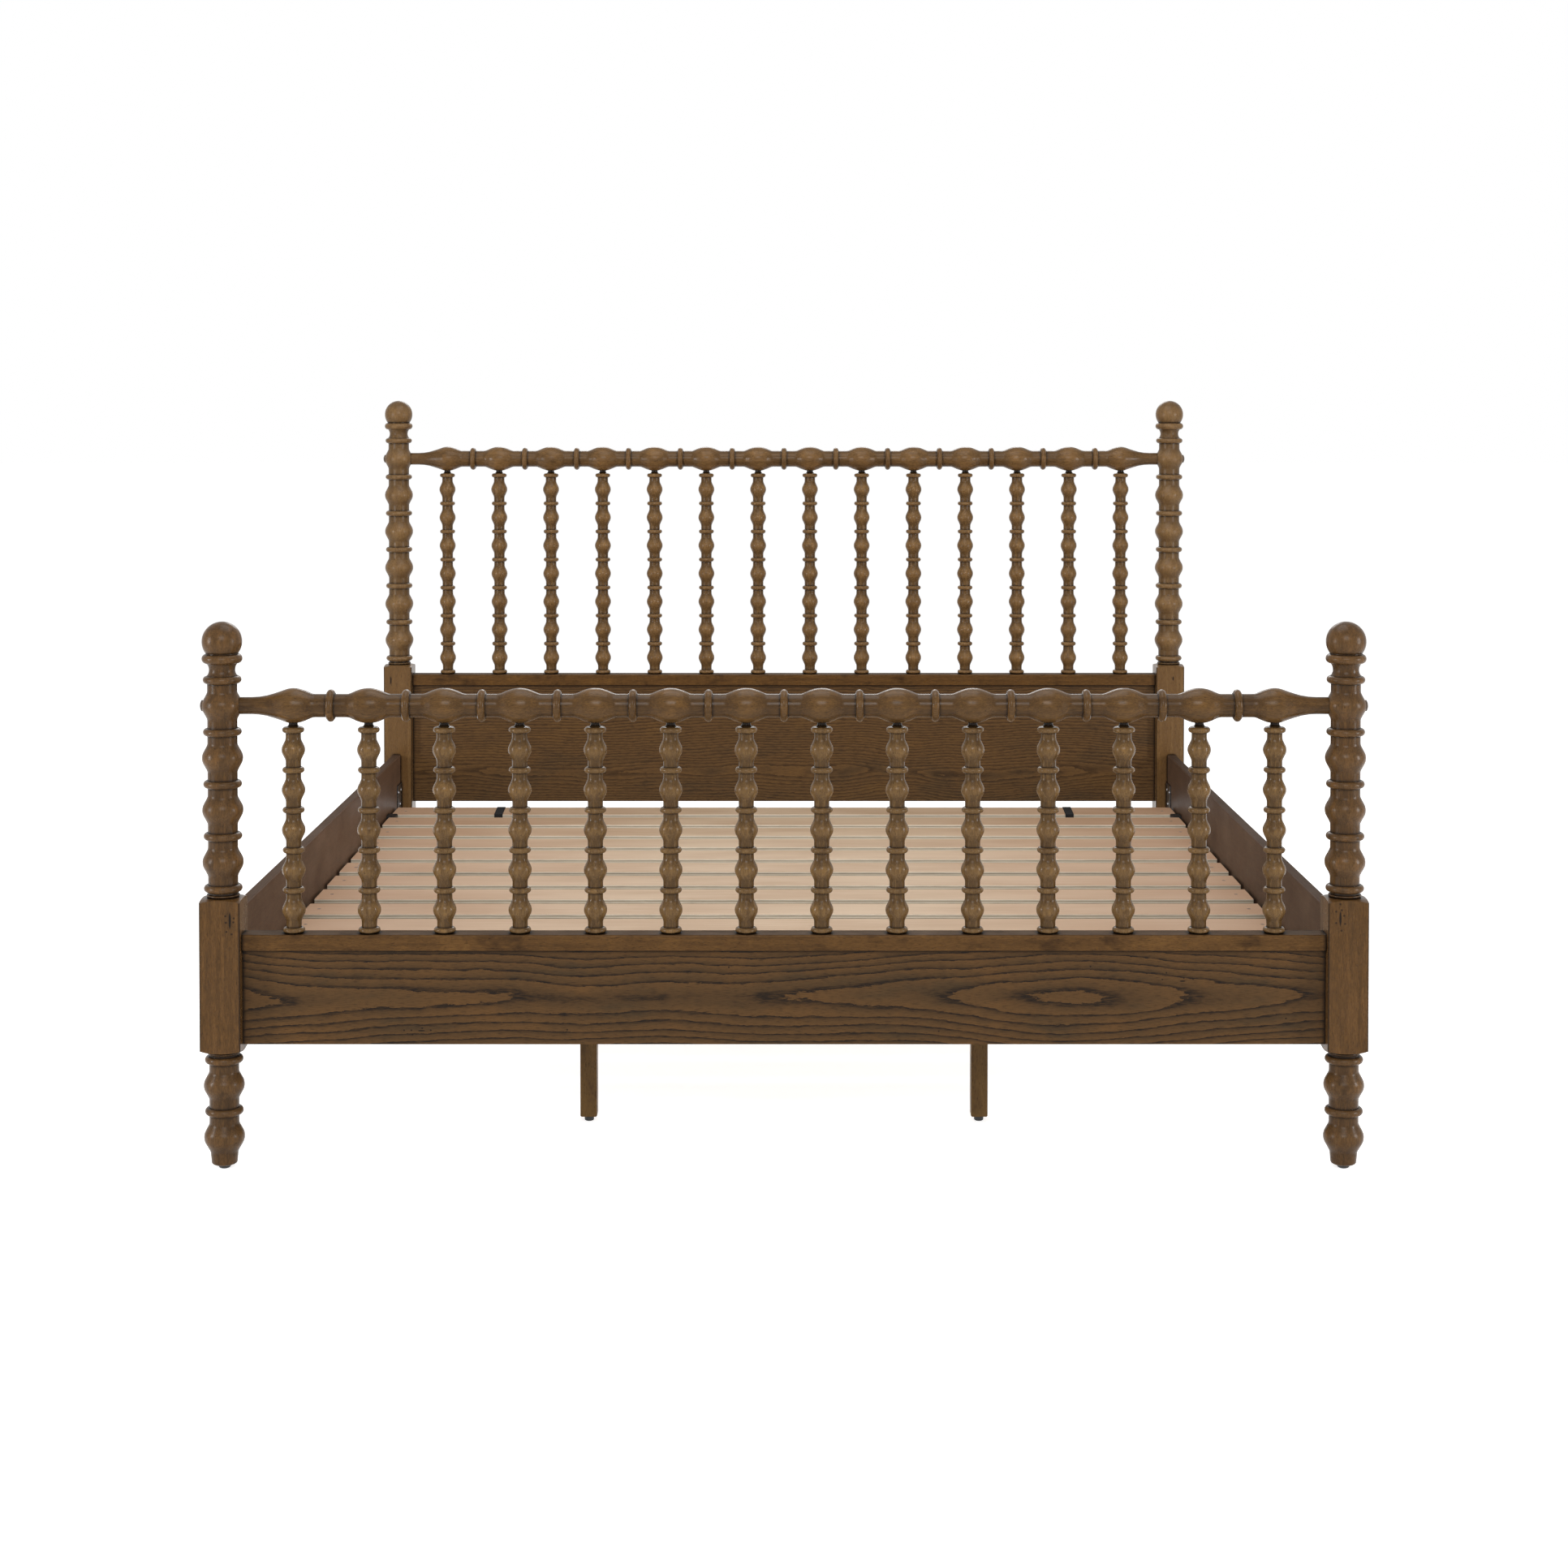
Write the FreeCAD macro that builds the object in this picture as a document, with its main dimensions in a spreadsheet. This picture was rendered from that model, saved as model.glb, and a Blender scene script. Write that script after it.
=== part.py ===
import FreeCAD, Part
import math
import os

import Sketcher

# A turned-spindle bedstead, king size. Millimetres, +Z up. The origin is on the floor under
# the middle of the bed; the low (foot) end is at -Y and the tall (head) end at +Y.

V = FreeCAD.Vector
doc = FreeCAD.newDocument("SpindleBed")

# ---------------------------------------------------------------- driving dimensions
DIMENSIONS = [
    # (alias, value, what it is)
    ("post_spacing_across", 1960, "post centre to post centre across the bed"),
    ("post_spacing_along", 2110, "foot post centre to head post centre"),
    ("joint_clearance", 0.2, "gap between glued or bolted faces"),
    ("running_clearance", 0.35, "gap round a stem that screws in and out"),
    # square blocks of the posts
    ("post_square", 71, "side of the square block"),
    ("post_arris", 2.5, "rounding of the block's upright edges"),
    ("block_bottom", 207, "underside of every block above the floor"),
    ("foot_block_top", 477, "top of a foot post's block"),
    ("head_block_top", 660, "top of a head post's block"),
    # turned part of the posts
    ("post_bead_radius", 35.3, "crest of a post's bead"),
    ("post_waist_radius", 25.8, "waist between bead and ring"),
    ("post_ring_section", 6.6, "section radius of a post's ring"),
    ("post_fillet", 0.8, "square step at both sides of a post's ring"),
    ("post_waist_length", 12, "straight part of the waist"),
    ("post_slope_factor", 0.42, "0 gives a cone, 1 an unbroken S curve"),
    ("post_crown_share", 0.65, "share of the curve that is convex"),
    ("shoulder_drop", 6.2, "how far the lathe-cut shoulder falls to a block's corner"),
    ("shoulder_radius", 60, "curve of that shoulder"),
    ("post_collar_radius", 28.7, "crest of the small bead on the block"),
    ("ring_seat", 15.3, "block end to the centre of the first ring"),
    ("toe_bead_height", 55.5, "lowest bead of the post above the floor"),
    ("toe_radius", 23.7, "turned toe below the lowest bead"),
    ("toe_taper", 1.2, "how much thinner the toe ends"),
    ("toe_length", 18, "length of the toe"),
    ("toe_round", 4.5, "rounding under the toe"),
    # finial
    ("finial_neck_length", 21, "cove between the two rings under the ball"),
    ("finial_cove_radius", 17, "hollow of that cove"),
    ("finial_ring_radius", 35, "crest of the ring under the ball"),
    ("finial_ring_section", 8.4, "section radius of that ring"),
    ("finial_seat_radius", 28.2, "step under the ball"),
    ("finial_seat_height", 1.2, "height of that step"),
    ("finial_ball_radius", 34.75, "ball"),
    # spindles
    ("spindle_end_gap", 123.6, "post centre to the first spindle"),
    ("spindle_bead_radius", 20.3, "crest of a spindle's bead"),
    ("spindle_waist_radius", 13.3, "waist between bead and ring"),
    ("spindle_ring_section", 5.2, "section radius of a spindle's ring"),
    ("spindle_fillet", 0.6, "square step at both sides of a spindle's ring"),
    ("spindle_waist_length", 7.6, "straight part of the waist"),
    ("spindle_slope_factor", 0.47, "0 gives a cone, 1 an unbroken S curve"),
    ("spindle_crown_share", 0.54, "share of the curve that is convex"),
    ("spindle_tenon_radius", 7.75, "round tenon at each end"),
    ("spindle_tenon_length", 15, "depth of a tenon in cap and top rail"),
    ("spindle_neck_gap", 11.5, "top ring centre to the underside of the top rail"),
    ("spindle_cove_radius", 6.5, "hollow from the top ring up to the neck"),
    ("spindle_cove_rise", 4.5, "height of that hollow"),
    # top rails
    ("foot_rail_height", 811.5, "axis of the foot's top rail above the floor"),
    ("head_rail_height", 1183, "axis of the head's top rail above the floor"),
    ("rail_bead_radius", 30.6, "crest of a rail's bead"),
    ("rail_neck_radius", 20.3, "neck between bead and ring"),
    ("rail_ring_section", 6.8, "section radius of a rail's ring"),
    ("rail_fillet", 1.1, "square step at both sides of a rail's ring"),
    ("rail_neck_length", 19, "straight part of the neck"),
    ("rail_slope_factor", 0.6, "0 gives a cone, 1 an unbroken S curve"),
    ("rail_crown_share", 0.75, "share of the curve that is convex"),
    ("rail_end_radius", 15, "plain round end of the rail"),
    ("rail_taper_length", 72, "last bead's centre to the plain end"),
    ("rail_taper_factor", 0.57, "0 gives a cone, 1 an unbroken S curve"),
    ("rail_taper_crown_share", 0.25, "share of that curve that is convex"),
    ("rail_tenon_length", 22, "depth of the rail's end in the post"),
    # rail bolts
    ("bolt_head_radius", 9.8, "button head of a rail bolt"),
    ("bolt_head_reach", 38.7, "post axis to the top of the button"),
    ("bolt_head_edge", 4, "height of the button's straight edge"),
    ("bolt_head_crown", 3, "height of the button's dome"),
    ("bolt_shank_radius", 4, "shank of a rail bolt"),
    ("bolt_grip", 28, "length of shank inside the rail"),
    # caps and panels
    ("foot_cap_top", 413.5, "top of the foot's cap"),
    ("head_cap_top", 635.3, "top of the head's cap"),
    ("cap_height", 27.3, "thickness of a cap"),
    ("cap_depth", 43.5, "width of a cap from front to back"),
    ("cap_round", 3, "rounding of a cap's upper edges"),
    ("panel_thickness", 24, "head panel and foot board"),
    ("foot_board_bottom", 220, "lower edge of the foot board"),
    ("head_panel_bottom", 310.6, "lower edge of the head panel"),
    ("tongue_thickness", 10, "tongue along the top and tenons at the ends"),
    ("tongue_height", 8, "tongue of a panel in its cap"),
    ("panel_tenon_length", 20, "tenon of a panel in its post"),
    ("panel_tenon_shoulder", 14, "shoulder above and below that tenon"),
    # side rails, ledgers and hook plates
    ("side_rail_inset", 6.5, "post centre to the rail's inner face, towards the bed"),
    ("side_rail_thickness", 21.2, "side rail"),
    ("side_rail_top", 432, "upper edge of a side rail"),
    ("side_rail_height", 206, "upper to lower edge of a side rail"),
    ("side_rail_round", 3, "rounding of its upper edges"),
    ("ledger_width", 30, "ledger that carries the slats"),
    ("ledger_height", 25, "its height"),
    ("ledger_foot_gap", 5, "foot post to the ledger's end"),
    ("ledger_head_gap", 66, "head post to the ledger's end"),
    ("ledger_chamfer", 2, "bevel of its lower inner edge"),
    ("plate_length", 60, "steel hook plate along the rail"),
    ("plate_height", 64, "its height"),
    ("plate_thickness", 2.5, "its thickness"),
    ("hook_reach", 15, "how far a hook enters the post"),
    ("hook_height", 17, "height of one hook"),
    ("hook_drop", 6, "lip of a hook below its neck"),
    ("hook_pitch", 34, "upper hook to lower hook"),
    ("plate_screw_radius", 2, "shank of a plate's screw"),
    ("plate_screw_head", 4.3, "radius of its pan head"),
    ("plate_screw_rise", 2.2, "height of its pan head"),
    ("plate_screw_length", 13, "shank in the wood"),
    # slats
    ("slat_top", 312, "upper face of the slats"),
    ("slat_thickness", 18, "slat"),
    ("slat_width", 108, "slat"),
    ("slat_end_gap", 6.5, "side rail to a slat's end"),
    ("slat_arris", 0.8, "bevel of a slat's long edges"),
    ("first_slat", 105, "foot post centre to the first slat's middle"),
    ("last_slat", 175, "head post centre to the last slat's middle"),
    ("slat_screw_inset", 27, "slat's end to its screw"),
    ("slat_screw_radius", 2, "shank of a slat's screw"),
    ("slat_screw_head", 4.2, "radius of its sunk head"),
    ("slat_screw_length", 34, "whole length of a slat's screw"),
    # webbing loops on the last slat
    ("strap_inset", 261, "slat's end to a webbing loop"),
    ("strap_width", 20.5, "webbing"),
    ("strap_thickness", 1.4, "webbing"),
    ("strap_skew", 4, "how far a loop leans outwards over the slat's width"),
    # stops between the last two slats
    ("stop_width", 22, "side rail to the stop's inner face"),
    ("stop_length", 40, "stop, from slat to slat"),
    ("stop_rise", 2.4, "top of a stop above the slats"),
    ("stop_round", 4, "rounding of its upper inner edge"),
    # beams and centre legs
    ("beam_width", 31, "beam under the slats"),
    ("beam_height", 60, "its height"),
    ("beam_end_gap", 93.5, "ledger to a beam's end"),
    ("leg_square", 31, "centre leg"),
    ("leg_inset", 487, "beam's end to a centre leg"),
    ("leg_chamfer", 2, "bevel round a leg's foot"),
    ("leg_dowel_radius", 9, "round tenon on a leg"),
    ("leg_dowel_length", 24, "its length in the beam"),
    # levelling glides
    ("glide_radius", 8.8, "foot of a centre leg's glide"),
    ("glide_height", 10.3, "floor to the underside of a centre leg"),
    ("glide_dome", 3, "rounding of that glide's foot"),
    ("post_glide_radius", 11, "foot of a post's glide"),
    ("post_glide_height", 7.5, "floor to the underside of a post"),
    ("post_glide_dome", 4.5, "rounding of that glide's foot"),
    ("glide_stem_radius", 4, "threaded stem"),
    ("glide_stem_length", 26, "stem inside the wood"),
    ("glide_travel", 10, "how far a glide can be wound out"),
]

COUNTS = {"foot_modules": 4, "head_modules": 6, "foot_beads": 5, "head_beads": 7,
          "spindles": 14, "slats": 13, "beams": 3, "slats_per_beam": 5}

sizes = doc.addObject("Spreadsheet::Sheet", "sizes")
for row, (alias, value, note) in enumerate(DIMENSIONS, start=1):
    sizes.set("A%d" % row, note)
    sizes.set("B%d" % row, str(value))
    sizes.setAlias("B%d" % row, alias)
doc.recompute()


class Cells:
    """Names of the sheet's cells as they are written in expressions."""

    def __getattr__(self, alias):
        return "sizes." + alias


S = Cells()


def number(expression):
    """Value of an expression, as a plain number."""
    result = sizes.evalExpression(expression)
    return float(getattr(result, "Value", result))


# ---------------------------------------------------------------- derived sizes
turning = doc.addObject("App::VarSet", "turning")


def derive(name, expression, kind="App::PropertyFloat"):
    """Adds one derived size and returns how expressions call it."""
    turning.addProperty(kind, name, "Derived")
    turning.setExpression(name, expression)
    return "turning." + name


class Swell:
    """The S curve from a waist up to a crest: hollow, straight slope, then crown.

    The slope lies between that of a cone and that of an unbroken S curve, so the curve
    closes for any length and rise. Runs are measured along the axis.
    """

    def __init__(self, name, crest, waist, length, slope_factor, crown_share):
        self.crest, self.waist = crest, waist
        self.length = derive(name + "_length", length)
        rise = derive(name + "_rise", "%s - %s" % (crest, waist))
        slope = derive(name + "_slope", "(1 + %s) * atan(%s / %s)" % (slope_factor, rise, self.length),
                       "App::PropertyAngle")
        total = derive(name + "_curves", "(%s - %s / tan(%s)) / tan(%s / 2)"
                       % (self.length, rise, slope, slope))
        self.crown = derive(name + "_crown", "%s * %s" % (crown_share, total))
        self.hollow = derive(name + "_hollow", "(1 - %s) * %s" % (crown_share, total))
        self.crown_run = derive(name + "_crown_run", "%s * sin(%s)" % (self.crown, slope))
        self.crown_fall = derive(name + "_crown_fall", "%s * (1 - cos(%s))" % (self.crown, slope))
        self.hollow_run = derive(name + "_hollow_run", "%s * sin(%s)" % (self.hollow, slope))
        self.hollow_rise = derive(name + "_hollow_rise", "%s * (1 - cos(%s))" % (self.hollow, slope))


foot_pitch = derive("foot_pitch", "(%s - %s - %s) / %s" % (
    S.foot_rail_height, S.foot_block_top, S.ring_seat, COUNTS["foot_modules"] - 0.5))
head_pitch = derive("head_pitch", "(%s - %s - %s) / %s" % (
    S.head_rail_height, S.head_block_top, S.ring_seat, COUNTS["head_modules"] - 0.5))
toe_pitch = derive("toe_pitch", "(%s - %s - %s) / 1.5" % (
    S.block_bottom, S.ring_seat, S.toe_bead_height))
spindle_pitch = derive("spindle_pitch", "(%s - 2 * %s) / %d" % (
    S.post_spacing_across, S.spindle_end_gap, COUNTS["spindles"] - 1))
foot_top_ring = derive("foot_top_ring", "%s - %s - %s" % (
    S.foot_rail_height, S.rail_bead_radius, S.spindle_neck_gap))
head_top_ring = derive("head_top_ring", "%s - %s - %s" % (
    S.head_rail_height, S.rail_bead_radius, S.spindle_neck_gap))
foot_bead_pitch = derive("foot_bead_pitch", "(%s - %s - %s) / %d" % (
    foot_top_ring, S.foot_cap_top, S.spindle_ring_section, COUNTS["foot_beads"]))
head_bead_pitch = derive("head_bead_pitch", "(%s - %s - %s) / %d" % (
    head_top_ring, S.head_cap_top, S.spindle_ring_section, COUNTS["head_beads"]))
slat_pitch = derive("slat_pitch", "(%s - %s - %s) / %d" % (
    S.post_spacing_along, S.first_slat, S.last_slat, COUNTS["slats"] - 1))
# each beam lies under a slat, flush with the slat's edge towards the head
beam_pitch = derive("beam_pitch", "%s * %d" % (slat_pitch, COUNTS["slats_per_beam"]))
first_beam = derive("first_beam", "%s + %s + (%s - %s) / 2" % (
    S.first_slat, slat_pitch, S.slat_width, S.beam_width))
frame_width = derive("frame_width", "%s - %s - 2 * %s" % (
    S.post_spacing_across, S.post_square, S.joint_clearance))
side_length = derive("side_length", "%s - %s - 2 * %s" % (
    S.post_spacing_along, S.post_square, S.joint_clearance))
beam_top = derive("beam_top", "%s - %s" % (S.slat_top, S.slat_thickness))
leg_top = derive("leg_top", "%s - %s" % (beam_top, S.beam_height))
plate_middle = derive("plate_middle", "%s - %s / 2" % (S.side_rail_top, S.side_rail_height))
panel_height = {}
for end, bottom in (("foot", S.foot_board_bottom), ("head", S.head_panel_bottom)):
    panel_height[end] = derive(end + "_panel_height", "%s - %s - %s" % (
        getattr(S, end + "_cap_top"), S.cap_height, bottom))
rail_face = derive("rail_face", "%s / 2 - %s" % (S.post_spacing_across, S.side_rail_inset))
slat_half_length = derive("slat_half_length", "%s - %s" % (rail_face, S.slat_end_gap))
strap_position = derive("strap_position", "%s - %s" % (slat_half_length, S.strap_inset))
beam_half_length = derive("beam_half_length", "%s - %s - %s" % (
    rail_face, S.ledger_width, S.beam_end_gap))
leg_position = derive("leg_position", "%s - %s" % (beam_half_length, S.leg_inset))
doc.recompute()


def post_swell(name, pitch):
    return Swell(name, S.post_bead_radius, S.post_waist_radius, "%s / 2 - %s - %s - %s" % (
        pitch, S.post_ring_section, S.post_fillet, S.post_waist_length),
        S.post_slope_factor, S.post_crown_share)


def spindle_swell(name, pitch):
    return Swell(name, S.spindle_bead_radius, S.spindle_waist_radius, "%s / 2 - %s - %s - %s" % (
        pitch, S.spindle_ring_section, S.spindle_fillet, S.spindle_waist_length),
        S.spindle_slope_factor, S.spindle_crown_share)


SWELLS = {
    "foot": post_swell("foot_post", foot_pitch),
    "head": post_swell("head_post", head_pitch),
    "leg": post_swell("leg", toe_pitch),
    "toe": Swell("toe", S.post_bead_radius, S.toe_radius, "%s - %s - %s" % (
        S.toe_bead_height, S.post_glide_height, S.toe_length), S.post_slope_factor, S.post_crown_share),
    "foot_spindle": spindle_swell("foot_spindle", foot_bead_pitch),
    "head_spindle": spindle_swell("head_spindle", head_bead_pitch),
    "rail": Swell("rail_bead", S.rail_bead_radius, S.rail_neck_radius, "%s / 2 - %s - %s - %s" % (
        spindle_pitch, S.rail_ring_section, S.rail_fillet, S.rail_neck_length),
        S.rail_slope_factor, S.rail_crown_share),
    "taper": Swell("taper", S.rail_bead_radius, S.rail_end_radius, S.rail_taper_length,
                   S.rail_taper_factor, S.rail_taper_crown_share),
}
doc.recompute()


# ---------------------------------------------------------------- sketching
def origin_plane(body, role):
    return [item for item in body.Origin.OriginFeatures if item.Role == role][0]


class Outline:
    """A closed outline whose every point and radius is bound to an expression.

    x runs across the sketch and y up it.
    """

    def __init__(self, body, name, plane="XZ_Plane"):
        self.sketch = body.newObject("Sketcher::SketchObject", name)
        self.sketch.AttachmentSupport = [(origin_plane(body, plane), "")]
        self.sketch.MapMode = "FlatFace"
        self.points, self.arcs = [], {}
        self.geometry, self.constraints, self.bindings = [], [], []

    def at(self, **offsets):
        """Moves the sketch off its plane or along it: x, y or z by an expression."""
        for axis, expression in offsets.items():
            self.sketch.setExpression("AttachmentOffset.Base." + axis, expression)
        return self

    def to(self, x, y):
        """A straight line to the next point (or the first point)."""
        self.points.append((str(x), str(y)))
        return self

    def arc(self, x, y, radius, side):
        """An arc to the next point, its centre to the left (+1) or right (-1) of the way."""
        self.arcs[len(self.points)] = (str(radius), side)
        return self.to(x, y)

    def close(self):
        """Ends one loop; another may follow."""
        base, count = len(self.geometry), len(self.points)
        numeric = [(number(x), number(y)) for x, y in self.points]
        starts = []
        for index in range(count):
            a, b = numeric[index], numeric[(index + 1) % count]
            following = (index + 1) % count
            if following in self.arcs:
                radius, side = self.arcs[following]
                size = number(radius)
                chord = math.hypot(b[0] - a[0], b[1] - a[1])
                size = max(size, chord / 2 * 1.000001)
                rise = math.sqrt(size * size - chord * chord / 4)
                nx, ny = -(b[1] - a[1]) / chord, (b[0] - a[0]) / chord
                cx = (a[0] + b[0]) / 2 + side * nx * rise
                cy = (a[1] + b[1]) / 2 + side * ny * rise
                turn_a = math.atan2(a[1] - cy, a[0] - cx)
                turn_b = math.atan2(b[1] - cy, b[0] - cx)
                forward = side > 0
                first, last = (turn_a, turn_b) if forward else (turn_b, turn_a)
                self.geometry.append(Part.ArcOfCircle(
                    Part.Circle(V(cx, cy, 0), V(0, 0, 1), size), first, last))
                starts.append((1, 2) if forward else (2, 1))
                self.bindings.append((("Radius", base + index), radius))
            else:
                self.geometry.append(Part.LineSegment(V(a[0], a[1], 0), V(b[0], b[1], 0)))
                starts.append((1, 2))
        for index in range(count):
            following = (index + 1) % count
            self.constraints.append(Sketcher.Constraint(
                "Coincident", base + index, starts[index][1], base + following,
                starts[following][0]))
            x, y = self.points[index]
            for axis, line, expression in (("DistanceX", -2, x), ("DistanceY", -1, y)):
                if expression == "0":
                    self.constraints.append(Sketcher.Constraint(
                        "PointOnObject", base + index, starts[index][0], line))
                else:
                    self.bindings.append(((axis, base + index, starts[index][0]), expression))
        self.points, self.arcs = [], {}
        return self

    def circle(self, x, y, radius):
        """A full circle."""
        index = len(self.geometry)
        self.geometry.append(Part.Circle(V(number(str(x)), number(str(y)), 0), V(0, 0, 1),
                                         number(radius)))
        self.bindings.append((("Radius", index), radius))
        for axis, line, expression in (("DistanceX", -2, str(x)), ("DistanceY", -1, str(y))):
            if expression == "0":
                self.constraints.append(Sketcher.Constraint("PointOnObject", index, 3, line))
            else:
                self.bindings.append(((axis, index, 3), expression))
        return self

    def rectangle(self, x0, y0, x1, y1):
        """An upright rectangle between two corners."""
        return self.to(x0, y0).to(x1, y0).to(x1, y1).to(x0, y1).close()

    def done(self):
        """Puts everything into the sketch and binds it."""
        sketch = self.sketch
        sketch.addGeometry(self.geometry, False)
        fixed = list(self.constraints)
        first = len(fixed)
        for key, expression in self.bindings:
            size = number(expression)
            if key[0] == "Radius":
                fixed.append(Sketcher.Constraint("Radius", key[1], size))
            else:
                fixed.append(Sketcher.Constraint(key[0], -1, 1, key[1], key[2], size))
        sketch.addConstraint(fixed)
        for step, (key, expression) in enumerate(self.bindings):
            sketch.setExpression("Constraints[%d]" % (first + step), expression)
        return sketch


def new_body(name):
    body = doc.addObject("PartDesign::Body", name)
    body.Label = name
    return body


def place(body, x="0", y="0", z="0", rotation=None):
    """Puts a body at a bound position."""
    if rotation is not None:
        body.Placement = FreeCAD.Placement(V(0, 0, 0), rotation)
    for axis, expression in (("x", x), ("y", y), ("z", z)):
        if expression != "0":
            body.setExpression("Placement.Base." + axis, expression)


def add(body, kind, name, sketch, **settings):
    """A feature on a sketch; text settings are expressions, the rest plain values."""
    feature = body.newObject("PartDesign::" + kind, name)
    feature.Profile = sketch
    for key, value in settings.items():
        if isinstance(value, str) and key not in ("Type", "SideType"):
            feature.setExpression(key, value)
        else:
            setattr(feature, key, value)
    return feature


def revolve(body, kind, name, sketch, axis="V_Axis"):
    return add(body, kind, name, sketch, ReferenceAxis=(sketch, [axis]), Angle=360.0)


def repeat(body, name, features, sketch, axis, length, occurrences, second=None):
    """A row, or with second a grid, of features; the body's tip is set to it."""
    pattern = body.newObject("PartDesign::LinearPattern", name)
    pattern.Originals = features
    pattern.Direction = (sketch, [axis])
    pattern.setExpression("Length", length)
    pattern.Occurrences = occurrences
    if second:
        pattern.Direction2 = (sketch, [second[0]])
        pattern.setExpression("Length2", second[1])
        pattern.Occurrences2 = second[2]
    body.Tip = pattern
    return pattern


# ---------------------------------------------------------------- turned work
class Ring:
    """A half-round ring on a waist, with a small square step (fillet) at both sides."""

    def __init__(self, waist, section, fillet):
        self.waist, self.section, self.fillet = waist, section, fillet
        self.root = "%s + %s" % (waist, fillet)
        self.crest = "%s + %s + %s" % (waist, fillet, section)
        self.half = "%s + %s" % (section, fillet)

    def leave(self, outline, centre, along=str, turn=+1):
        """From the crest down to the waist, on the side of larger distances."""
        edge, foot = "%s + %s" % (centre, self.section), "%s + %s" % (centre, self.half)
        outline.arc(self.root, along(edge), self.section, turn)
        return outline.to(self.root, along(foot)).to(self.waist, along(foot))

    def reach(self, outline, centre, along=str, turn=+1):
        """From the waist up to the crest, on the side of smaller distances."""
        edge, foot = "%s - %s" % (centre, self.section), "%s - (%s)" % (centre, self.half)
        outline.to(self.waist, along(foot)).to(self.root, along(foot))
        return outline.to(self.root, along(edge)).arc(self.crest, along(centre), self.section, turn)


POST_RING = Ring(S.post_waist_radius, S.post_ring_section, S.post_fillet)
SPINDLE_RING = Ring(S.spindle_waist_radius, S.spindle_ring_section, S.spindle_fillet)
RAIL_RING = Ring(S.rail_neck_radius, S.rail_ring_section, S.rail_fillet)


def module(outline, swell, start, pitch, ring):
    """One turned module: from a ring's crest over a bead to the next ring's crest."""
    crest_r, waist_r = swell.crest, swell.waist
    mid = "%s + %s / 2" % (start, pitch)
    end = "%s + %s" % (start, pitch)
    outline.to("0", start).to(ring.crest, start)
    ring.leave(outline, start)
    outline.to(waist_r, "%s - %s" % (mid, swell.length))
    outline.arc("%s + %s" % (waist_r, swell.hollow_rise),
                "%s - %s + %s" % (mid, swell.length, swell.hollow_run), swell.hollow, -1)
    outline.to("%s - %s" % (crest_r, swell.crown_fall), "%s - %s" % (mid, swell.crown_run))
    outline.arc("%s - %s" % (crest_r, swell.crown_fall), "%s + %s" % (mid, swell.crown_run),
                swell.crown, +1)
    outline.to("%s + %s" % (waist_r, swell.hollow_rise),
               "%s + %s - %s" % (mid, swell.length, swell.hollow_run))
    outline.arc(waist_r, "%s + %s" % (mid, swell.length), swell.hollow, -1)
    ring.reach(outline, end)
    return outline.to("0", end).close().done()


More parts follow.
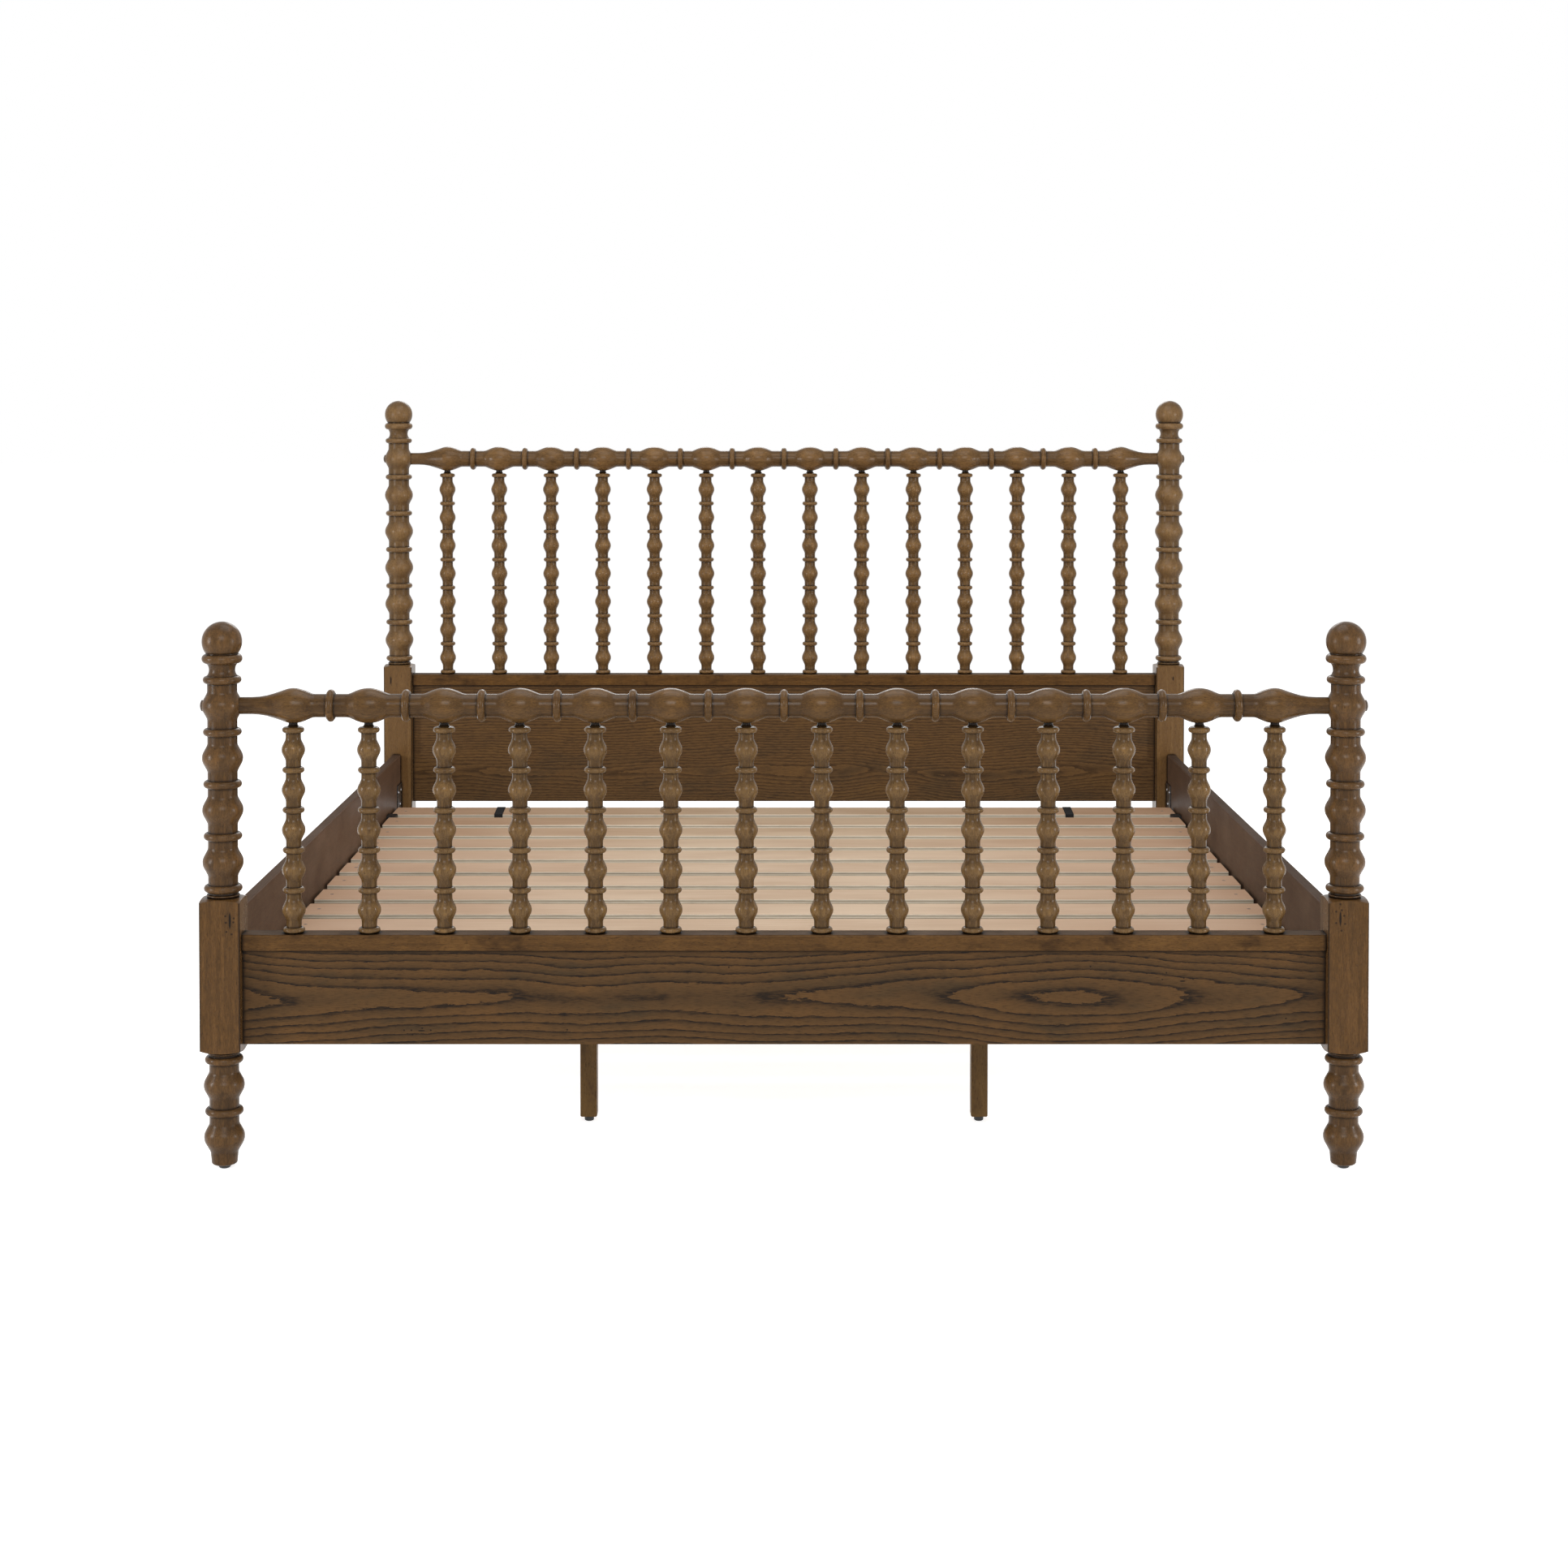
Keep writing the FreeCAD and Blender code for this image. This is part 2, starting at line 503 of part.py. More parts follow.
def build_post(name, end, side):
    """A post: square block with lathe-cut shoulders, turned shaft, finial and turned foot."""
    body = new_body(name)
    swell, leg, toe = SWELLS[end], SWELLS["leg"], SWELLS["toe"]
    pitch = {"foot": foot_pitch, "head": head_pitch}[end]
    count = COUNTS[end + "_modules"]
    top = getattr(S, end + "_block_top")
    rail = getattr(S, end + "_rail_height")
    inward = 1 if end == "foot" else -1

    # block
    half, arris = S.post_square + " / 2", S.post_arris
    flat = "%s - %s" % (half, arris)
    square = Outline(body, "BlockSection", "XY_Plane").at(z=S.block_bottom)
    square.to(half, "-(%s)" % flat).to(half, flat).arc(flat, half, arris, +1)
    square.to("-(%s)" % flat, half).arc("-(%s)" % half, flat, arris, +1)
    square.to("-(%s)" % half, "-(%s)" % flat).arc("-(%s)" % flat, "-(%s)" % half, arris, +1)
    square.to(flat, "-(%s)" % half)
    square.arcs[0] = (arris, +1)
    block = add(body, "Pad", "Block", square.close().done(),
                Length="%s - %s" % (top, S.block_bottom))

    # lathe-cut shoulders at both ends of the block
    drop, curve, start = S.shoulder_drop, S.shoulder_radius, S.post_collar_radius
    reach = "%s * sqrt(2) / 2" % S.post_square
    cut = Outline(body, "ShoulderProfile")
    cut.to(start, top).arc(reach, "%s - %s" % (top, drop), curve, -1)
    cut.to("%s + 3" % reach, "%s - %s" % (top, drop)).to("%s + 3" % reach, "%s + 3" % top)
    cut.to(start, "%s + 3" % top).close()
    low = S.block_bottom
    cut.to(start, low).arc(reach, "%s + %s" % (low, drop), curve, +1)
    cut.to("%s + 3" % reach, "%s + %s" % (low, drop)).to("%s + 3" % reach, "%s - 3" % low)
    cut.to(start, "%s - 3" % low).close()
    revolve(body, "Groove", "Shoulders", cut.done())

    # turned shaft above the block
    first = "%s + %s" % (top, S.ring_seat)
    shaft = module(Outline(body, "ShaftProfile"), swell, first, pitch, POST_RING)
    turned = revolve(body, "Revolution", "ShaftModule", shaft)
    repeat(body, "Shaft", [turned], shaft, "V_Axis", "%s * %d" % (pitch, count - 1), count)

    # a small bead on the block, then the inner half of the first ring, above and below
    waist, crest, half_ring = S.post_waist_radius, POST_RING.crest, POST_RING.half
    small = "(%s - %s)" % (S.post_collar_radius, waist)
    under = "%s - %s" % (low, S.ring_seat)
    collar = Outline(body, "CollarProfile")
    collar.to("0", "%s - 5" % top).to(waist, "%s - 5" % top).to(waist, top)
    collar.arc(S.post_collar_radius, "%s + %s" % (top, small), small, +1)
    collar.arc(waist, "%s + 2 * %s" % (top, small), small, +1)
    POST_RING.reach(collar, first).to("0", first).close()
    collar.to("0", under).to(crest, under)
    POST_RING.leave(collar, under).to(waist, "%s - 2 * %s" % (low, small))
    collar.arc(S.post_collar_radius, "%s - %s" % (low, small), small, +1)
    collar.arc(waist, low, small, +1).to(waist, "%s + 5" % low).to("0", "%s + 5" % low).close()
    revolve(body, "Revolution", "Collars", collar.done())

    # finial: half ring, cove, ring and ball
    base = "%s + %s * %d" % (first, pitch, count)
    neck = "%s + %s" % (base, half_ring)
    ring_edge = "%s - %s" % (S.finial_ring_radius, S.finial_ring_section)
    edge = "%s + %s" % (neck, S.finial_neck_length)
    middle = "%s + %s" % (edge, S.finial_ring_section)
    step = "%s + sqrt(%s ^ 2 - (%s - (%s)) ^ 2)" % (
        middle, S.finial_ring_section, S.finial_seat_radius, ring_edge)
    seat = "%s + %s" % (step, S.finial_seat_height)
    ball_top = "%s + %s + sqrt(%s ^ 2 - %s ^ 2)" % (
        seat, S.finial_ball_radius, S.finial_ball_radius, S.finial_seat_radius)
    finial = Outline(body, "FinialProfile")
    POST_RING.leave(finial.to("0", base).to(crest, base), base)
    finial.arc(ring_edge, edge, S.finial_cove_radius, -1)
    finial.arc(S.finial_ring_radius, middle, S.finial_ring_section, +1)
    finial.arc(S.finial_seat_radius, step, S.finial_ring_section, +1)
    finial.to(S.finial_seat_radius, seat)
    finial.arc("0", ball_top, S.finial_ball_radius, +1).close()
    revolve(body, "Revolution", "Finial", finial.done())

    # turned foot below the block
    lower = module(Outline(body, "LegProfile"), leg, "%s - %s" % (under, toe_pitch), toe_pitch,
                   POST_RING)
    revolve(body, "Revolution", "LegModule", lower)
    last, bead = "%s - %s" % (under, toe_pitch), S.toe_bead_height
    floor, thin = S.post_glide_height, "%s - %s" % (S.toe_radius, S.toe_taper)
    ankle = "%s + %s" % (floor, S.toe_length)
    foot = Outline(body, "ToeProfile")
    foot.to("0", floor).to("%s - %s" % (thin, S.toe_round), floor)
    foot.arc(thin, "%s + %s" % (floor, S.toe_round), S.toe_round, +1).to(S.toe_radius, ankle)
    foot.arc("%s + %s" % (S.toe_radius, toe.hollow_rise), "%s + %s" % (ankle, toe.hollow_run),
             toe.hollow, -1)
    foot.to("%s - %s" % (S.post_bead_radius, toe.crown_fall), "%s - %s" % (bead, toe.crown_run))
    foot.arc(S.post_bead_radius, bead, toe.crown, +1)
    foot.arc("%s - %s" % (S.post_bead_radius, leg.crown_fall), "%s + %s" % (bead, leg.crown_run),
             leg.crown, +1)
    foot.to("%s + %s" % (waist, leg.hollow_rise), "%s + %s - %s" % (bead, leg.length, leg.hollow_run))
    foot.arc(waist, "%s + %s" % (bead, leg.length), leg.hollow, -1)
    POST_RING.reach(foot, last).to("0", last).close()
    revolve(body, "Revolution", "Toe", foot.done())

    # bore for the top rail's end, bolt hole and counterbore for the bolt's button
    bore = Outline(body, "RailBore", "YZ_Plane").at(
        z="%s * (%s - %s)" % (-side, S.post_bead_radius, S.rail_tenon_length))
    bore.circle("0", rail, "%s + %s" % (S.rail_end_radius, S.joint_clearance))
    add(body, "Pocket", "RailSocket", bore.done(), Length=S.post_square, Reversed=side < 0)
    hole = Outline(body, "BoltBore", "YZ_Plane")
    hole.circle("0", rail, "%s + %s" % (S.bolt_shank_radius, S.joint_clearance))
    add(body, "Pocket", "BoltHole", hole.done(), Length=S.post_square + " * 2", SideType="Symmetric")
    seat_depth = "%s - %s - %s" % (S.bolt_head_reach, S.bolt_head_crown, S.bolt_head_edge)
    recess = Outline(body, "ButtonRecess", "YZ_Plane").at(z="%d * (%s)" % (side, seat_depth))
    recess.circle("0", rail, "%s + %s" % (S.bolt_head_radius, S.joint_clearance))
    add(body, "Pocket", "ButtonSeat", recess.done(), Length=S.post_square, Reversed=side > 0)

    # mortise for the panel's tenon
    bottom = {"foot": S.foot_board_bottom, "head": S.head_panel_bottom}[end]
    cap_top = getattr(S, end + "_cap_top")
    gap = S.joint_clearance
    slot = Outline(body, "PanelMortise", "YZ_Plane").at(
        z="%d * (%s / 2 - %s - %s)" % (-side, S.post_square, S.panel_tenon_length, gap))
    wide = "%s / 2 + %s" % (S.tongue_thickness, gap)
    slot.rectangle("-(%s)" % wide, "%s + %s - %s" % (bottom, S.panel_tenon_shoulder, gap), wide,
                   "%s - %s - %s + %s" % (cap_top, S.cap_height, S.panel_tenon_shoulder, gap))
    add(body, "Pocket", "Mortise", slot.done(), Length=S.post_square, Reversed=side < 0)

    # slot for the side rail's hooks
    catch = Outline(body, "HookSlot", "XZ_Plane").at(
        z="%d * (%s / 2 - %s - 2 * %s)" % (-inward, S.post_square, S.hook_reach, gap))
    inner = "%d * (%s + %s + %s)" % (-side, S.side_rail_inset, S.plate_thickness, gap)
    outer = "%d * (%s - %s)" % (-side, S.side_rail_inset, gap)
    catch.rectangle(inner, "%s - %s / 2" % (plate_middle, S.plate_height), outer,
                    "%s + %s / 2" % (plate_middle, S.plate_height))
    add(body, "Pocket", "HookPocket", catch.done(), Length=S.post_square, Reversed=inward < 0)

    # bore for the glide's stem
    well = Outline(body, "GlideBore", "XY_Plane").at(z="%s - 1" % floor)
    well.circle("0", "0", "%s + %s" % (S.glide_stem_radius, S.running_clearance))
    add(body, "Pocket", "GlideWell", well.done(), Reversed=True,
        Length="%s + 3" % S.glide_stem_length)
    place(body, "%d * %s / 2" % (side, S.post_spacing_across),
          "%d * %s / 2" % (-inward, S.post_spacing_along))
    return body


def build_top_rail(name, end):
    """A top rail turned along its length, with tapered ends that enter the posts."""
    body = new_body(name)
    swell, taper = SWELLS["rail"], SWELLS["taper"]
    neck, crest = S.rail_neck_radius, RAIL_RING.crest
    count = COUNTS["spindles"]
    first = "-%s * %d" % (spindle_pitch, count // 2 - 1)
    outline = module(Outline(body, "RailProfile"), swell, first, spindle_pitch, RAIL_RING)
    turned = revolve(body, "Revolution", "RailModule", outline)
    repeat(body, "RailRow", [turned], outline, "V_Axis",
           "%s * %d" % (spindle_pitch, count - 3), count - 2)

    bead = "%s * %s" % (spindle_pitch, (count - 1) / 2)
    start = "%s * %d" % (spindle_pitch, count // 2 - 1)
    tip = "%s / 2 - (%s - %s) - %s" % (
        S.post_spacing_across, S.post_bead_radius, S.rail_tenon_length, S.joint_clearance)
    for mark, sign in (("Right", 1), ("Left", -1)):
        def along(expression):
            return "%d * (%s)" % (sign, expression)
        end_profile = Outline(body, "EndProfile" + mark)
        end_profile.to("0", along(start)).to(crest, along(start))
        RAIL_RING.leave(end_profile, start, along, sign)
        end_profile.to(neck, along("%s - %s" % (bead, swell.length)))
        end_profile.arc("%s + %s" % (neck, swell.hollow_rise),
                        along("%s - %s + %s" % (bead, swell.length, swell.hollow_run)),
                        swell.hollow, -sign)
        end_profile.to("%s - %s" % (swell.crest, swell.crown_fall),
                       along("%s - %s" % (bead, swell.crown_run)))
        end_profile.arc(swell.crest, along(bead), swell.crown, sign)
        end_profile.arc("%s - %s" % (taper.crest, taper.crown_fall),
                        along("%s + %s" % (bead, taper.crown_run)), taper.crown, sign)
        end_profile.to("%s + %s" % (taper.waist, taper.hollow_rise),
                       along("%s + %s - %s" % (bead, taper.length, taper.hollow_run)))
        end_profile.arc(taper.waist, along("%s + %s" % (bead, taper.length)), taper.hollow, -sign)
        end_profile.to(taper.waist, along(tip)).to("0", along(tip)).close()
        revolve(body, "Revolution", "End" + mark, end_profile.done())
        drill = Outline(body, "BoltBore" + mark, "XY_Plane").at(z=along(tip))
        drill.circle("0", "0", "%s + %s" % (S.bolt_shank_radius, S.joint_clearance))
        add(body, "Pocket", "BoltHole" + mark, drill.done(), Length="%s + 2" % S.bolt_grip,
            Reversed=sign < 0)

    # round sockets in the underside of the beads; local +X points down in the finished rail
    socket = Outline(body, "SpindleBore", "YZ_Plane").at(
        z="%s - %s - 1" % (S.rail_bead_radius, S.spindle_tenon_length))
    socket.circle("0", "-(%s)" % bead, "%s + %s" % (S.spindle_tenon_radius, S.joint_clearance))
    sketch = socket.done()
    bore = add(body, "Pocket", "SpindleSocket", sketch, Length=S.rail_bead_radius, Reversed=True)
    repeat(body, "SpindleSockets", [bore], sketch, "V_Axis",
           "%s * %d" % (spindle_pitch, count - 1), count)
    inward = 1 if end == "foot" else -1
    place(body, "0", "%d * %s / 2" % (-inward, S.post_spacing_along),
          getattr(S, end + "_rail_height"), FreeCAD.Rotation(V(0, 1, 0), 90))
    return body


def build_spindle(name, end, index):
    """A spindle of rings and beads with a round tenon at each end."""
    body = new_body(name)
    swell = SWELLS[end + "_spindle"]
    pitch = {"foot": foot_bead_pitch, "head": head_bead_pitch}[end]
    count = COUNTS[end + "_beads"]
    ring, root, crest = S.spindle_ring_section, SPINDLE_RING.root, SPINDLE_RING.crest
    outline = module(Outline(body, "BeadProfile"), swell, ring, pitch, SPINDLE_RING)
    turned = revolve(body, "Revolution", "BeadModule", outline)
    repeat(body, "Beads", [turned], outline, "V_Axis", "%s * %d" % (pitch, count - 1), count)

    tenon, depth = S.spindle_tenon_radius, S.spindle_tenon_length
    top = "%s + %s * %d" % (ring, pitch, count)
    under = "%s + %s - %s" % (top, S.spindle_neck_gap, S.joint_clearance)
    ends = Outline(body, "EndProfiles")
    ends.to("0", "-%s" % depth).to("%s - 1" % tenon, "-%s" % depth).to(tenon, "1 - %s" % depth)
    ends.to(tenon, "0").to(root, "0").arc(crest, ring, ring, +1).to("0", ring).close()
    ends.to("0", top).to(crest, top).arc(root, "%s + %s" % (top, ring), ring, +1)
    ends.arc(tenon, "%s + %s + %s" % (top, ring, S.spindle_cove_rise), S.spindle_cove_radius, -1)
    ends.to(tenon, under).to(tenon, "%s + %s - 1" % (under, depth))
    ends.to("%s - 1" % tenon, "%s + %s" % (under, depth)).to("0", "%s + %s" % (under, depth)).close()
    revolve(body, "Revolution", "Ends", ends.done())
    inward = 1 if end == "foot" else -1
    place(body, "%s * %s" % (spindle_pitch, index - (COUNTS["spindles"] - 1) / 2),
          "%d * %s / 2" % (-inward, S.post_spacing_along), getattr(S, end + "_cap_top"))
    return body


# ---------------------------------------------------------------- caps, panels, side rails
def build_cap(name, end):
    """A cap: rounded upper edges, a groove for the panel's tongue, sockets for spindles."""
    body = new_body(name)
    half, edge, gap = S.cap_depth + " / 2", S.cap_round, S.joint_clearance
    groove = "%s / 2 + %s" % (S.tongue_thickness, gap)
    deep = "%s + %s" % (S.tongue_height, gap)
    section = Outline(body, "CapSection", "YZ_Plane")
    section.to("-(%s)" % half, "0").to("-(%s)" % groove, "0").to("-(%s)" % groove, deep)
    section.to(groove, deep).to(groove, "0").to(half, "0")
    section.to(half, "%s - %s" % (S.cap_height, edge))
    section.arc("%s - %s" % (half, edge), S.cap_height, edge, +1)
    section.to("-(%s) + %s" % (half, edge), S.cap_height)
    section.arc("-(%s)" % half, "%s - %s" % (S.cap_height, edge), edge, +1)
    add(body, "Pad", "CapBar", section.close().done(), Length=frame_width, SideType="Symmetric")
    count = COUNTS["spindles"]
    bore = Outline(body, "SpindleBore", "XY_Plane").at(z=S.cap_height)
    bore.circle("-%s * %s" % (spindle_pitch, (count - 1) / 2), "0",
                "%s + %s" % (S.spindle_tenon_radius, gap))
    sketch = bore.done()
    socket = add(body, "Pocket", "SpindleSocket", sketch,
                 Length="%s + 1" % S.spindle_tenon_length)
    repeat(body, "SpindleSockets", [socket], sketch, "H_Axis",
           "%s * %d" % (spindle_pitch, count - 1), count)
    inward = 1 if end == "foot" else -1
    place(body, "0", "%d * %s / 2" % (-inward, S.post_spacing_along),
          "%s - %s" % (getattr(S, end + "_cap_top"), S.cap_height))
    return body


def build_panel(name, end, bottom):
    """A panel with a tongue along its top and a tenon at each end."""
    body = new_body(name)
    tall = panel_height[end]
    half, tongue = S.panel_thickness + " / 2", S.tongue_thickness + " / 2"
    section = Outline(body, "PanelSection", "YZ_Plane")
    section.to("-(%s)" % half, "0").to(half, "0").to(half, tall).to(tongue, tall)
    section.to(tongue, "%s + %s" % (tall, S.tongue_height))
    section.to("-(%s)" % tongue, "%s + %s" % (tall, S.tongue_height))
    section.to("-(%s)" % tongue, tall).to("-(%s)" % half, tall)
    add(body, "Pad", "Board", section.close().done(), Length=frame_width, SideType="Symmetric")
    tenon = Outline(body, "TenonSection", "YZ_Plane")
    tenon.rectangle("-(%s)" % tongue, S.panel_tenon_shoulder, tongue,
                    "%s - %s" % (tall, S.panel_tenon_shoulder))
    add(body, "Pad", "Tenons", tenon.done(), SideType="Symmetric",
        Length="%s + 2 * %s" % (frame_width, S.panel_tenon_length))
    inward = 1 if end == "foot" else -1
    place(body, "0", "%d * %s / 2" % (-inward, S.post_spacing_along), bottom)
    return body


def build_side_rail(name, side):
    """A side rail between the posts, its upper edges rounded, bored for the plates' screws."""
    body = new_body(name)
    tall, thick, edge = S.side_rail_height, S.side_rail_thickness, S.side_rail_round
    section = Outline(body, "RailSection")
    section.to("0", "0").to(thick, "0").to(thick, "%s - %s" % (tall, edge))
    section.arc("%s - %s" % (thick, edge), tall, edge, +1).to(edge, tall)
    section.arc("0", "%s - %s" % (tall, edge), edge, +1)
    add(body, "Pad", "RailBar", section.close().done(), Length=side_length, SideType="Symmetric")
    drill = Outline(body, "ScrewBores", "YZ_Plane").at(z="-1")
    for along, up in PLATE_SCREWS:
        for sign in (1, -1):
            drill.circle("%d * (%s / 2 - %s)" % (sign, S.post_spacing_along, along),
                         "%s / 2 + %s" % (tall, up), "%s + %s" % (S.plate_screw_radius,
                                                                 S.joint_clearance))
    add(body, "Pocket", "ScrewHoles", drill.done(), Length="%s + 2" % S.plate_screw_length,
        Reversed=True)
    turn = FreeCAD.Rotation(V(0, 0, 1), 0 if side > 0 else 180)
    place(body, "%d * %s" % (side, rail_face), "0", "%s - %s" % (S.side_rail_top, tall), turn)
    return body


# screws of one hook plate: post centre to screw, and height above the plate's middle
PLATE_SCREWS = [("(%s / 2 + %d)" % (S.post_square, reach), str(up))
                for reach, up in ((9, 17), (51, 17), (26, -16))]


def build_ledger(name, side):
    """The strip along a side rail that carries the slats' ends."""
    body = new_body(name)
    wide, tall, bevel = S.ledger_width, S.ledger_height, S.ledger_chamfer
    section = Outline(body, "LedgerSection")
    section.to("0", "0").to("0", "-%s" % tall).to("%s - %s" % (wide, bevel), "-%s" % tall)
    section.to(wide, "%s - %s" % (bevel, tall)).to(wide, "0")
    length = "%s - %s - %s - %s" % (S.post_spacing_along, S.post_square, S.ledger_foot_gap,
                                    S.ledger_head_gap)
    add(body, "Pad", "LedgerBar", section.close().done(), Length=length, SideType="Symmetric")
    drill = Outline(body, "ScrewBores", "XY_Plane").at(z="1")
    offset = "(%s - %s) / 2" % (S.ledger_foot_gap, S.ledger_head_gap)
    across = "%s + %s - %s" % (rail_face, S.slat_screw_inset, slat_half_length)
    flip = 1 if side < 0 else -1
    drill.circle(across, "%d * (%s - %s / 2 - (%s))" % (
        flip, S.first_slat, S.post_spacing_along, offset),
        "%s + %s" % (S.slat_screw_radius, S.joint_clearance))
    sketch = drill.done()
    hole = add(body, "Pocket", "ScrewHole", sketch,
               Length="%s - %s + 2" % (S.slat_screw_length, S.slat_thickness))
    row = repeat(body, "ScrewHoles", [hole], sketch, "V_Axis",
                 "%s * %d" % (slat_pitch, COUNTS["slats"] - 1), COUNTS["slats"])
    row.Reversed = side > 0
    turn = FreeCAD.Rotation(V(0, 0, 1), 0 if side < 0 else 180)
    place(body, "%d * %s" % (side, rail_face), offset, beam_top, turn)
    return body


def build_hook_plates(name):
    """Four steel plates let on to the side rails, each with two hooks that enter the post."""
    body = new_body(name)
    tall, gap = S.plate_height + " / 2", S.joint_clearance
    face = "%s / 2 - %s / 2 - 2 * %s" % (S.post_spacing_along, S.post_square, gap)
    pads = []
    for mark, sign in (("Head", 1), ("Foot", -1)):
        outline = Outline(body, "PlateOutline" + mark, "YZ_Plane").at(
            z="%s - %s" % (rail_face, S.plate_thickness))

        def y(expression):
            return "%d * (%s)" % (sign, expression)
        outline.to(y("%s - %s" % (face, S.plate_length)), "-(%s)" % tall)
        outline.to(y(face), "-(%s)" % tall)
        for centre in ("-%s / 2" % S.hook_pitch, "%s / 2" % S.hook_pitch):
            low = "%s - %s / 2" % (centre, S.hook_height)
            neck = "%s + %s" % (low, S.hook_drop)
            outline.to(y(face), neck)
            outline.to(y("%s + %s / 2" % (face, S.hook_reach)), neck)
            outline.to(y("%s + %s / 2" % (face, S.hook_reach)), low)
            outline.to(y("%s + %s" % (face, S.hook_reach)), low)
            outline.to(y("%s + %s" % (face, S.hook_reach)), "%s + %s" % (low, S.hook_height))
            outline.to(y(face), "%s + %s" % (low, S.hook_height))
        outline.to(y(face), tall).to(y("%s - %s" % (face, S.plate_length)), tall)
        outline.close()
        for along, up in PLATE_SCREWS:
            outline.circle(y("%s / 2 - %s" % (S.post_spacing_along, along)), up,
                           "%s + %s" % (S.plate_screw_radius, gap))
        pads.append(add(body, "Pad", "Plate" + mark, outline.done(), Length=S.plate_thickness))
    mirror = body.newObject("PartDesign::Mirrored", "PlatesOpposite")
    mirror.Originals = pads
    mirror.MirrorPlane = (origin_plane(body, "YZ_Plane"), [""])
    body.Tip = mirror
    place(body, z=plate_middle)
    return body


def build_plate_screws(name):
    """Pan-head screws of the four hook plates."""
    body = new_body(name)
    parts = []
    for mark, sign in (("Head", 1), ("Foot", -1)):
        for step, (along, up) in enumerate(PLATE_SCREWS, start=1):
            outline = Outline(body, "ScrewProfile%s%d" % (mark, step), "XY_Plane")
            outline.at(y="%d * (%s / 2 - %s)" % (sign, S.post_spacing_along, along), z=up)
            face = "%s - %s" % (rail_face, S.plate_thickness)
            head, rise = S.plate_screw_head, S.plate_screw_rise
            outline.to(face, "0").to("%s - %s" % (face, rise), "0")
            outline.arc(face, head, "(%s ^ 2 + %s ^ 2) / (2 * %s)" % (head, rise, rise), -1)
            outline.to(face, S.plate_screw_radius)
            outline.to("%s + %s" % (rail_face, S.plate_screw_length), S.plate_screw_radius)
            outline.to("%s + %s" % (rail_face, S.plate_screw_length), "0").close()
            sketch = outline.done()
            parts.append(revolve(body, "Revolution", "Screw%s%d" % (mark, step), sketch, "H_Axis"))
    mirror = body.newObject("PartDesign::Mirrored", "ScrewsOpposite")
    mirror.Originals = parts
    mirror.MirrorPlane = (origin_plane(body, "YZ_Plane"), [""])
    body.Tip = mirror
    place(body, z=plate_middle)
    return body


def build_bolts(name):
    """Button-head bolts that draw the top rails to the posts."""
    body = new_body(name)
    parts = []
    for mark, end, inward in (("Foot", "foot", 1), ("Head", "head", -1)):
        outline = Outline(body, "BoltProfile" + mark, "XZ_Plane").at(
            y=getattr(S, end + "_rail_height"),
            z="%d * %s / 2" % (inward, S.post_spacing_along))
        axis = S.post_spacing_across + " / 2"
        crown = "%s + %s" % (axis, S.bolt_head_reach)
        edge = "%s - %s" % (crown, S.bolt_head_crown)
        seat = "%s - %s" % (edge, S.bolt_head_edge)
        tip = "%s - (%s - %s) - %s - %s" % (axis, S.post_bead_radius, S.rail_tenon_length,
                                            S.joint_clearance, S.bolt_grip)
        head, rise = S.bolt_head_radius, S.bolt_head_crown
        outline.to(tip, "0").to(crown, "0")
        outline.arc(edge, head, "(%s ^ 2 + %s ^ 2) / (2 * %s)" % (head, rise, rise), +1)
        outline.to(seat, head).to(seat, S.bolt_shank_radius).to(tip, S.bolt_shank_radius).close()
        parts.append(revolve(body, "Revolution", "Bolt" + mark, outline.done(), "H_Axis"))
    mirror = body.newObject("PartDesign::Mirrored", "BoltsOpposite")
    mirror.Originals = parts
    mirror.MirrorPlane = (origin_plane(body, "YZ_Plane"), [""])
    body.Tip = mirror
    return body


# ---------------------------------------------------------------- slats and what carries them
def build_slats(name):
    """The row of slats, bevelled along their edges and countersunk at each end."""
    body = new_body(name)
    half, thick, bevel = S.slat_width + " / 2", S.slat_thickness, S.slat_arris
    section = Outline(body, "SlatSection", "YZ_Plane")
    section.to("-(%s)" % half, "%s - %s" % (bevel, thick)).to("-(%s) + %s" % (half, bevel),
                                                             "-%s" % thick)
    section.to("%s - %s" % (half, bevel), "-%s" % thick).to(half, "%s - %s" % (bevel, thick))
    section.to(half, "-%s" % bevel).to("%s - %s" % (half, bevel), "0")
    section.to("-(%s) + %s" % (half, bevel), "0").to("-(%s)" % half, "-%s" % bevel)
    parts = [add(body, "Pad", "Slat", section.close().done(), Length="2 * " + slat_half_length,
                 SideType="Symmetric")]
    head, gap = S.slat_screw_head, S.joint_clearance
    for mark, sign in (("Right", 1), ("Left", -1)):
        sink = Outline(body, "Countersink" + mark).at(
            x="%d * (%s - %s)" % (sign, slat_half_length, S.slat_screw_inset))
        shank = "%s + %s" % (S.slat_screw_radius, gap)
        wide = "%s + %s" % (head, gap)
        sink.to("0", "-%s - 1" % thick).to(shank, "-%s - 1" % thick)
        sink.to(shank, "-(%s - %s) - %s" % (head, S.slat_screw_radius, gap)).to(wide, "-%s" % gap)
        sink.to(wide, "1").to("0", "1").close()
        parts.append(revolve(body, "Groove", "ScrewHole" + mark, sink.done()))
    repeat(body, "SlatRow", parts, parts[0].Profile[0], "H_Axis",
           "%s * %d" % (slat_pitch, COUNTS["slats"] - 1), COUNTS["slats"])
    place(body, y="%s - %s / 2" % (S.first_slat, S.post_spacing_along), z=S.slat_top)
    return body


